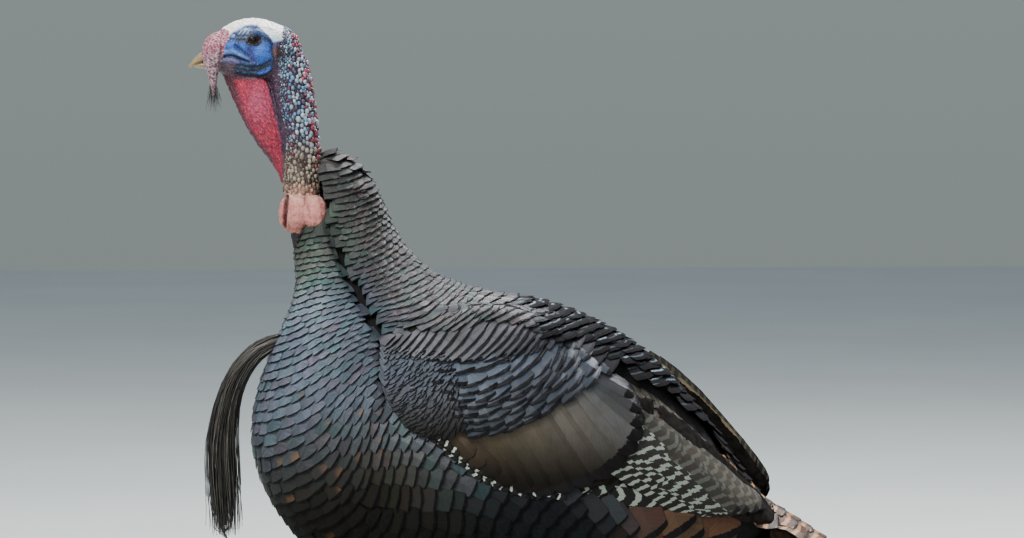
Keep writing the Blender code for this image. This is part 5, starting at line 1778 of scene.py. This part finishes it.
class TURKEY_OT_skin(bpy.types.Operator):
    """Builds the skin as one piece, shapes and colours the head, and sets beads and short hairs on it"""

    bl_idname = "turkey.skin"
    bl_label = "Skin"

    def execute(self, context):
        rng = np.random.default_rng(settings().seed + 70)
        body = remeshed(joined_copy("skin_body", FLESH_BODY, SKIM), BODY_VOXEL, 2)
        shrink(body, settings().coat_depth)
        legs = remeshed(joined_copy("skin_legs", FLESH_LEGS), LEG_VOXEL, 1)
        shrink(legs, 0.0003)
        eyes = [(Vector(ORIGIN + EYE * np.array([sign, 1, 1])), EYE_RADIUS + 0.0013) for sign in (1, -1)]
        bare = remeshed(joined_copy("skin", FLESH_BARE, SKIM, eyes), HEAD_VOXEL, 3)

        co, normal = read_points(bare.data)
        p = (co - ORIGIN) / MM
        out, part, lines = skin_relief(p)
        co = self.open_lids(co, normal, p, out)
        write_points(bare.data, co)
        # Painted shade round each eye and along its front corner, over dark lid skin.
        lid_shade = np.hypot(*((p[:, 1:] - LID_MIDDLE) / LID_SHADE_REACH).T)
        lid_shade = np.maximum(eased(lid_shade, 1.12, 0.86), crease(p, LID_CORNER, 1.5))
        colour = tinted(paint_skin(p, part, lines), (0.014, 0.010, 0.014), lid_shade * part["side"] * 0.95)
        set_colour(bare.data, "tint", opaque(colour))
        # The skin under the feathers is painted near black, as the shade in the gaps between them and in the
        # neck's fold.
        for piece, tone in ((body, (0.010, 0.009, 0.009, 1)), (legs, (0.30, 0.125, 0.105, 1))):
            set_colour(piece.data, "tint", np.tile(tone, (len(piece.data.vertices), 1)))

        self.beads(bare, part, p, rng)
        self.bristles(bare, part, p, rng)
        bpy.ops.object.select_all(action="DESELECT")
        for piece in (legs, bare, body):
            piece.select_set(True)
        context.view_layer.objects.active = bare
        bpy.ops.object.join()
        finish_piece(bare, "skin", skin_paint(), *FLESH_BODY, *FLESH_BARE, *FLESH_LEGS)
        return {"FINISHED"}

    def open_lids(self, co, normal, p, out):
        """The points raised by the relief, with lids round each eye and the opening sunk behind the ball."""
        opening = almond(p)
        ball = ORIGIN + EYE * np.stack([np.sign(p[:, 0]), np.ones(len(p)), np.ones(len(p))], axis=-1)
        near_eye = (np.linalg.norm(co - ball, axis=1) < EYE_RADIUS + 4 * MM) & (abs(p[:, 0]) > 12)
        out[near_eye] *= eased(opening[near_eye], 1.3, 2.2)
        co = co + normal * (out * MM)[:, None]
        co += normal * (near_eye * bump(opening - 1.18, 0.22) * 0.0005)[:, None]
        inside = near_eye & (opening < 1.0)
        co[inside] = ball[inside] + unit(co[inside] - ball[inside]) * (EYE_RADIUS - 0.0022)
        return co

    def beads(self, bare, part, p, rng):
        """The warty beads of the neck and nape."""
        co, normal = read_points(bare.data)
        y, z = p[:, 1], p[:, 2]
        front = np.interp(z, NECK_Z, BEADS_Y)
        depth = eased(y, front, front + 16)
        size = mixed(1.1, 2.45, depth)
        size = size * np.interp(z, (700, 760, 800, 850, 885, 900), (1.2, 1.3, 1.15, 0.95, 0.8, 0.7))
        allowed = (y > front) & (part["lobes"] < 0.5) & (z > 704) & ((part["crown"] < 0.5) | (y > -156))
        allowed &= np.hypot(y - EAR[0], z - EAR[1]) > 5
        gap = np.where(allowed, size * rng.uniform(0.75, 1.25, len(size)) * BEAD_SPACING, 0) * MM
        chosen = scatter(co, gap, rng)
        y, z, size, depth = y[chosen], z[chosen], gap[chosen] / BEAD_SPACING, depth[chosen]
        n = len(chosen)
        back = np.interp(z, (700, 760, 850, 880), (-124, -124, -134, -146))
        pick = rng.uniform(0, 1, n)
        red_share = mixed(0.03, 0.45, eased(y, back + 3, back + 11)) * eased(z, 735, 765)
        upper = eased(z, 752, 785)
        slate = tinted((0.10, 0.19, 0.28), (0.20, 0.32, 0.44), rng.uniform(0, 1, n))
        cream = layered(
            tinted((0.32, 0.28, 0.22), (0.38, 0.46, 0.50), upper),
            ((rng.uniform(0, 1, n) > mixed(0.25, 0.6, depth)) * upper, slate),
            (eased(z, 732, 712) * 0.8, (0.46, 0.26, 0.20)),
        )
        red = tinted((0.24, 0.045, 0.065), (0.36, 0.11, 0.15), rng.uniform(0, 1, n))
        tint = np.where((pick < red_share)[:, None], red, cream)
        deep = tinted((0.13, 0.10, 0.085), (0.085, 0.072, 0.11), upper)
        tint = np.where((pick > mixed(0.55, 0.76, depth))[:, None], deep, tint)
        tint = tint * rng.uniform(0.55, 1.0, (n, 1))
        ahead = np.array([0, -0.25, 1.0]) + rng.normal(0, 0.25, (n, 3))
        tall, flat = (rng.uniform(low, high, n) for low, high in ((0.95, 1.3), (0.7, 1.0)))
        sizes = np.column_stack([size * tall, size * 0.84, size * flat])
        piece = domes("neck_beads", co[chosen], normal[chosen], ahead, sizes, tint)
        finish_piece(piece, "skin", bead_paint())

    def bristles(self, bare, part, p, rng):
        """Short bristles on the crown, at the ear and on the lore, and the tuft at the snood's tip."""
        co, normal = read_points(bare.data)
        x, y, z = abs(p[:, 0]), p[:, 1], p[:, 2]
        near_ear = (abs(y + 155) < 4.5) & (abs(z - 867) < 6) & (x > 12)
        on_lore = (abs(y + 206) < 8) & (abs(z - 876) < 6) & (x > 8)
        lines, radii, tints = [], [], []
        for share, count, long, tone in (
            (part["crown"] * (y < -150) * (z > 884), 240, 3.4, (0.30, 0.30, 0.30)),
            (near_ear * 1.0, 150, 5.0, (0.12, 0.07, 0.045)),
            (on_lore * 1.0, 90, 3.0, (0.05, 0.05, 0.07)),
            (part["snood"] * (z < 832), 70, 15.0, (0.03, 0.026, 0.025)),
        ):
            where = np.where(share > 0.5)[0]
            pick = rng.choice(where, min(count, len(where)), replace=False)
            n, tuft = len(pick), long > 10
            lean = np.array([0, 0.15, -1.0]) if tuft else np.array([0, 1.0, -0.25]) * 0.75
            ray = unit(normal[pick] * (0.35 if tuft else 0.5) + lean + rng.normal(0, 0.12, (n, 3)))
            reach = np.linspace(0, 1, 5)[None, :, None] * (long * rng.uniform(0.6, 1.1, (n, 1, 1))) * MM
            droop = np.array([0, 0, -1.0]) * (reach**2) * (20 if tuft else 40)
            lines.append(co[pick][:, None] - normal[pick][:, None] * 0.0004 + ray[:, None] * reach + droop)
            radii.append(np.tile(np.linspace(0.20, 0.06, 5) * MM, (n, 1)))
            tints.append(np.tile(tone, (n, 1)) * rng.uniform(0.7, 1.3, (n, 1)))
        piece = hairs("head_bristles", *(np.concatenate(parts) for parts in (lines, radii, tints)))
        finish_piece(piece, "bristle", hair_paint("head_bristle", 0.5))


class TURKEY_OT_eyes_and_bill(bpy.types.Operator):
    """Sets the eyes and shapes the two halves of the bill"""

    bl_idname = "turkey.eyes_and_bill"
    bl_label = "Eyes and Bill"

    def execute(self, context):
        paint = eye_paint()
        for side, sign in zip(SIDES, (1, -1)):
            bpy.ops.mesh.primitive_uv_sphere_add(
                segments=48, ring_count=24, radius=EYE_RADIUS, location=ORIGIN + EYE * np.array([sign, 1, 1]),
                rotation=(0, math.pi / 2, 0))
            eye = context.active_object
            eye.name = f"eye_ball_{side}"
            bpy.ops.object.transform_apply(location=True, rotation=True, scale=True)
            bpy.ops.object.shade_smooth()
            finish_piece(eye, "eye", paint, f"eye_{side}")
        bill = remeshed(joined_copy("bill", ("bill_upper", "bill_lower"), 0.0003), BILL_VOXEL, 3)
        co, normal = read_points(bill.data)
        seam = crease((co - ORIGIN) / MM, BILL_SEAM, 0.55)
        write_points(bill.data, co - normal * (seam * 0.0007)[:, None])
        finish_piece(bill, "horn", bill_paint(), "bill_upper", "bill_lower")
        return {"FINISHED"}


# ---------------------------------------------------------------- camera and stage

CAMERA_AIM = np.array([0, 102, 628]) * MM
CAMERA_TURN, CAMERA_RISE = 85, 3
CAMERA_DISTANCE = 6.0
CAMERA_LENS = 192


class TURKEY_OT_stage(bpy.types.Operator):
    """Sets the camera, the floor and the lights"""

    bl_idname = "turkey.stage"
    bl_label = "Stage"

    def execute(self, context):
        turn, rise = math.radians(CAMERA_TURN), math.radians(CAMERA_RISE)
        back = Vector((math.sin(turn) * math.cos(rise), -math.cos(turn) * math.cos(rise), math.sin(rise)))
        bpy.ops.object.camera_add(location=Vector(CAMERA_AIM + ORIGIN) + back * CAMERA_DISTANCE)
        camera = context.active_object
        camera.name = "camera"
        camera.rotation_euler = (-back).to_track_quat("-Z", "Y").to_euler()
        camera.data.lens = CAMERA_LENS
        camera.data.clip_end = 60
        context.scene.camera = camera

        bpy.ops.mesh.primitive_plane_add(size=24)
        floor = context.active_object
        floor.name = "floor"
        floor_paint = mottled_paint("floor", (0.52, 0.54, 0.51), (0.50, 0.52, 0.49), 0.85, 2.0, 0.0)
        floor.data.materials.append(floor_paint)

        # A soft sky: bright above, dim and a little green below.
        world = bpy.data.worlds.new("sky")
        context.scene.world = world
        world.use_nodes = True
        sky = Nodes(world.node_tree, "Generated")
        rise = sky.step(sky.parts(sky.here)[2], -0.15, 0.6, "LINEAR")
        glow = world.node_tree.nodes["Background"].inputs
        sky.feed(glow["Color"], sky.mix(rise, (0.40, 0.45, 0.42), (0.72, 0.82, 0.95)))
        sky.feed(glow["Strength"], 0.5)
        centre = Vector(ORIGIN) + Vector((0, 0.1, 0.5))
        for name, spot_place, size, power, colour in (
            ("key", (2.8, -2.4, 3.8), 2.0, 270, (1.0, 0.98, 0.95)),
            ("rim", (-1.8, 1.6, 4.2), 2.0, 460, (0.97, 0.98, 1.0)),
            ("fill", (4.6, -0.6, 1.4), 2.6, 60, (0.92, 0.96, 1.0)),
        ):
            bpy.ops.object.light_add(type="AREA", location=centre + Vector(spot_place))
            lamp = context.active_object
            lamp.name = name
            lamp.data.size, lamp.data.energy, lamp.data.color = size, power, colour
            lamp.rotation_euler = (centre - lamp.location).to_track_quat("-Z", "Y").to_euler()
        context.scene.view_settings.view_transform = "AgX"
        context.scene.view_settings.look = "AgX - Medium High Contrast"
        return {"FINISHED"}


class TURKEY_PT_panel(bpy.types.Panel):
    """The sidebar panel, with the settings and a button for each group of pieces"""

    bl_idname = "TURKEY_PT_panel"
    bl_label = "Wild Turkey"
    bl_space_type = "VIEW_3D"
    bl_region_type = "UI"
    bl_category = "Turkey"

    def draw(self, context):
        for key in TurkeySettings.__annotations__:
            self.layout.prop(context.scene.turkey, key)
        for operator in OPERATORS:
            self.layout.operator(operator.bl_idname)


OPERATORS = (
    TURKEY_OT_stage, TURKEY_OT_skin, TURKEY_OT_eyes_and_bill, TURKEY_OT_body_plumage, TURKEY_OT_wings,
    TURKEY_OT_tail, TURKEY_OT_beard, TURKEY_OT_legs,
)


def register():
    for made in (TurkeySettings, *OPERATORS, TURKEY_PT_panel):
        bpy.utils.register_class(made)
    bpy.types.Scene.turkey = PointerProperty(type=TurkeySettings)


def unregister():
    del bpy.types.Scene.turkey
    for made in (TURKEY_PT_panel, *reversed(OPERATORS), TurkeySettings):
        bpy.utils.unregister_class(made)


def run(operator):
    """Calls an operator by its own name, as its button does."""
    group, name = operator.bl_idname.split(".")
    getattr(getattr(bpy.ops, group), name)()


def main():
    register()
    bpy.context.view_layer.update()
    for operator in OPERATORS:
        run(operator)


if __name__ == "__main__":
    main()
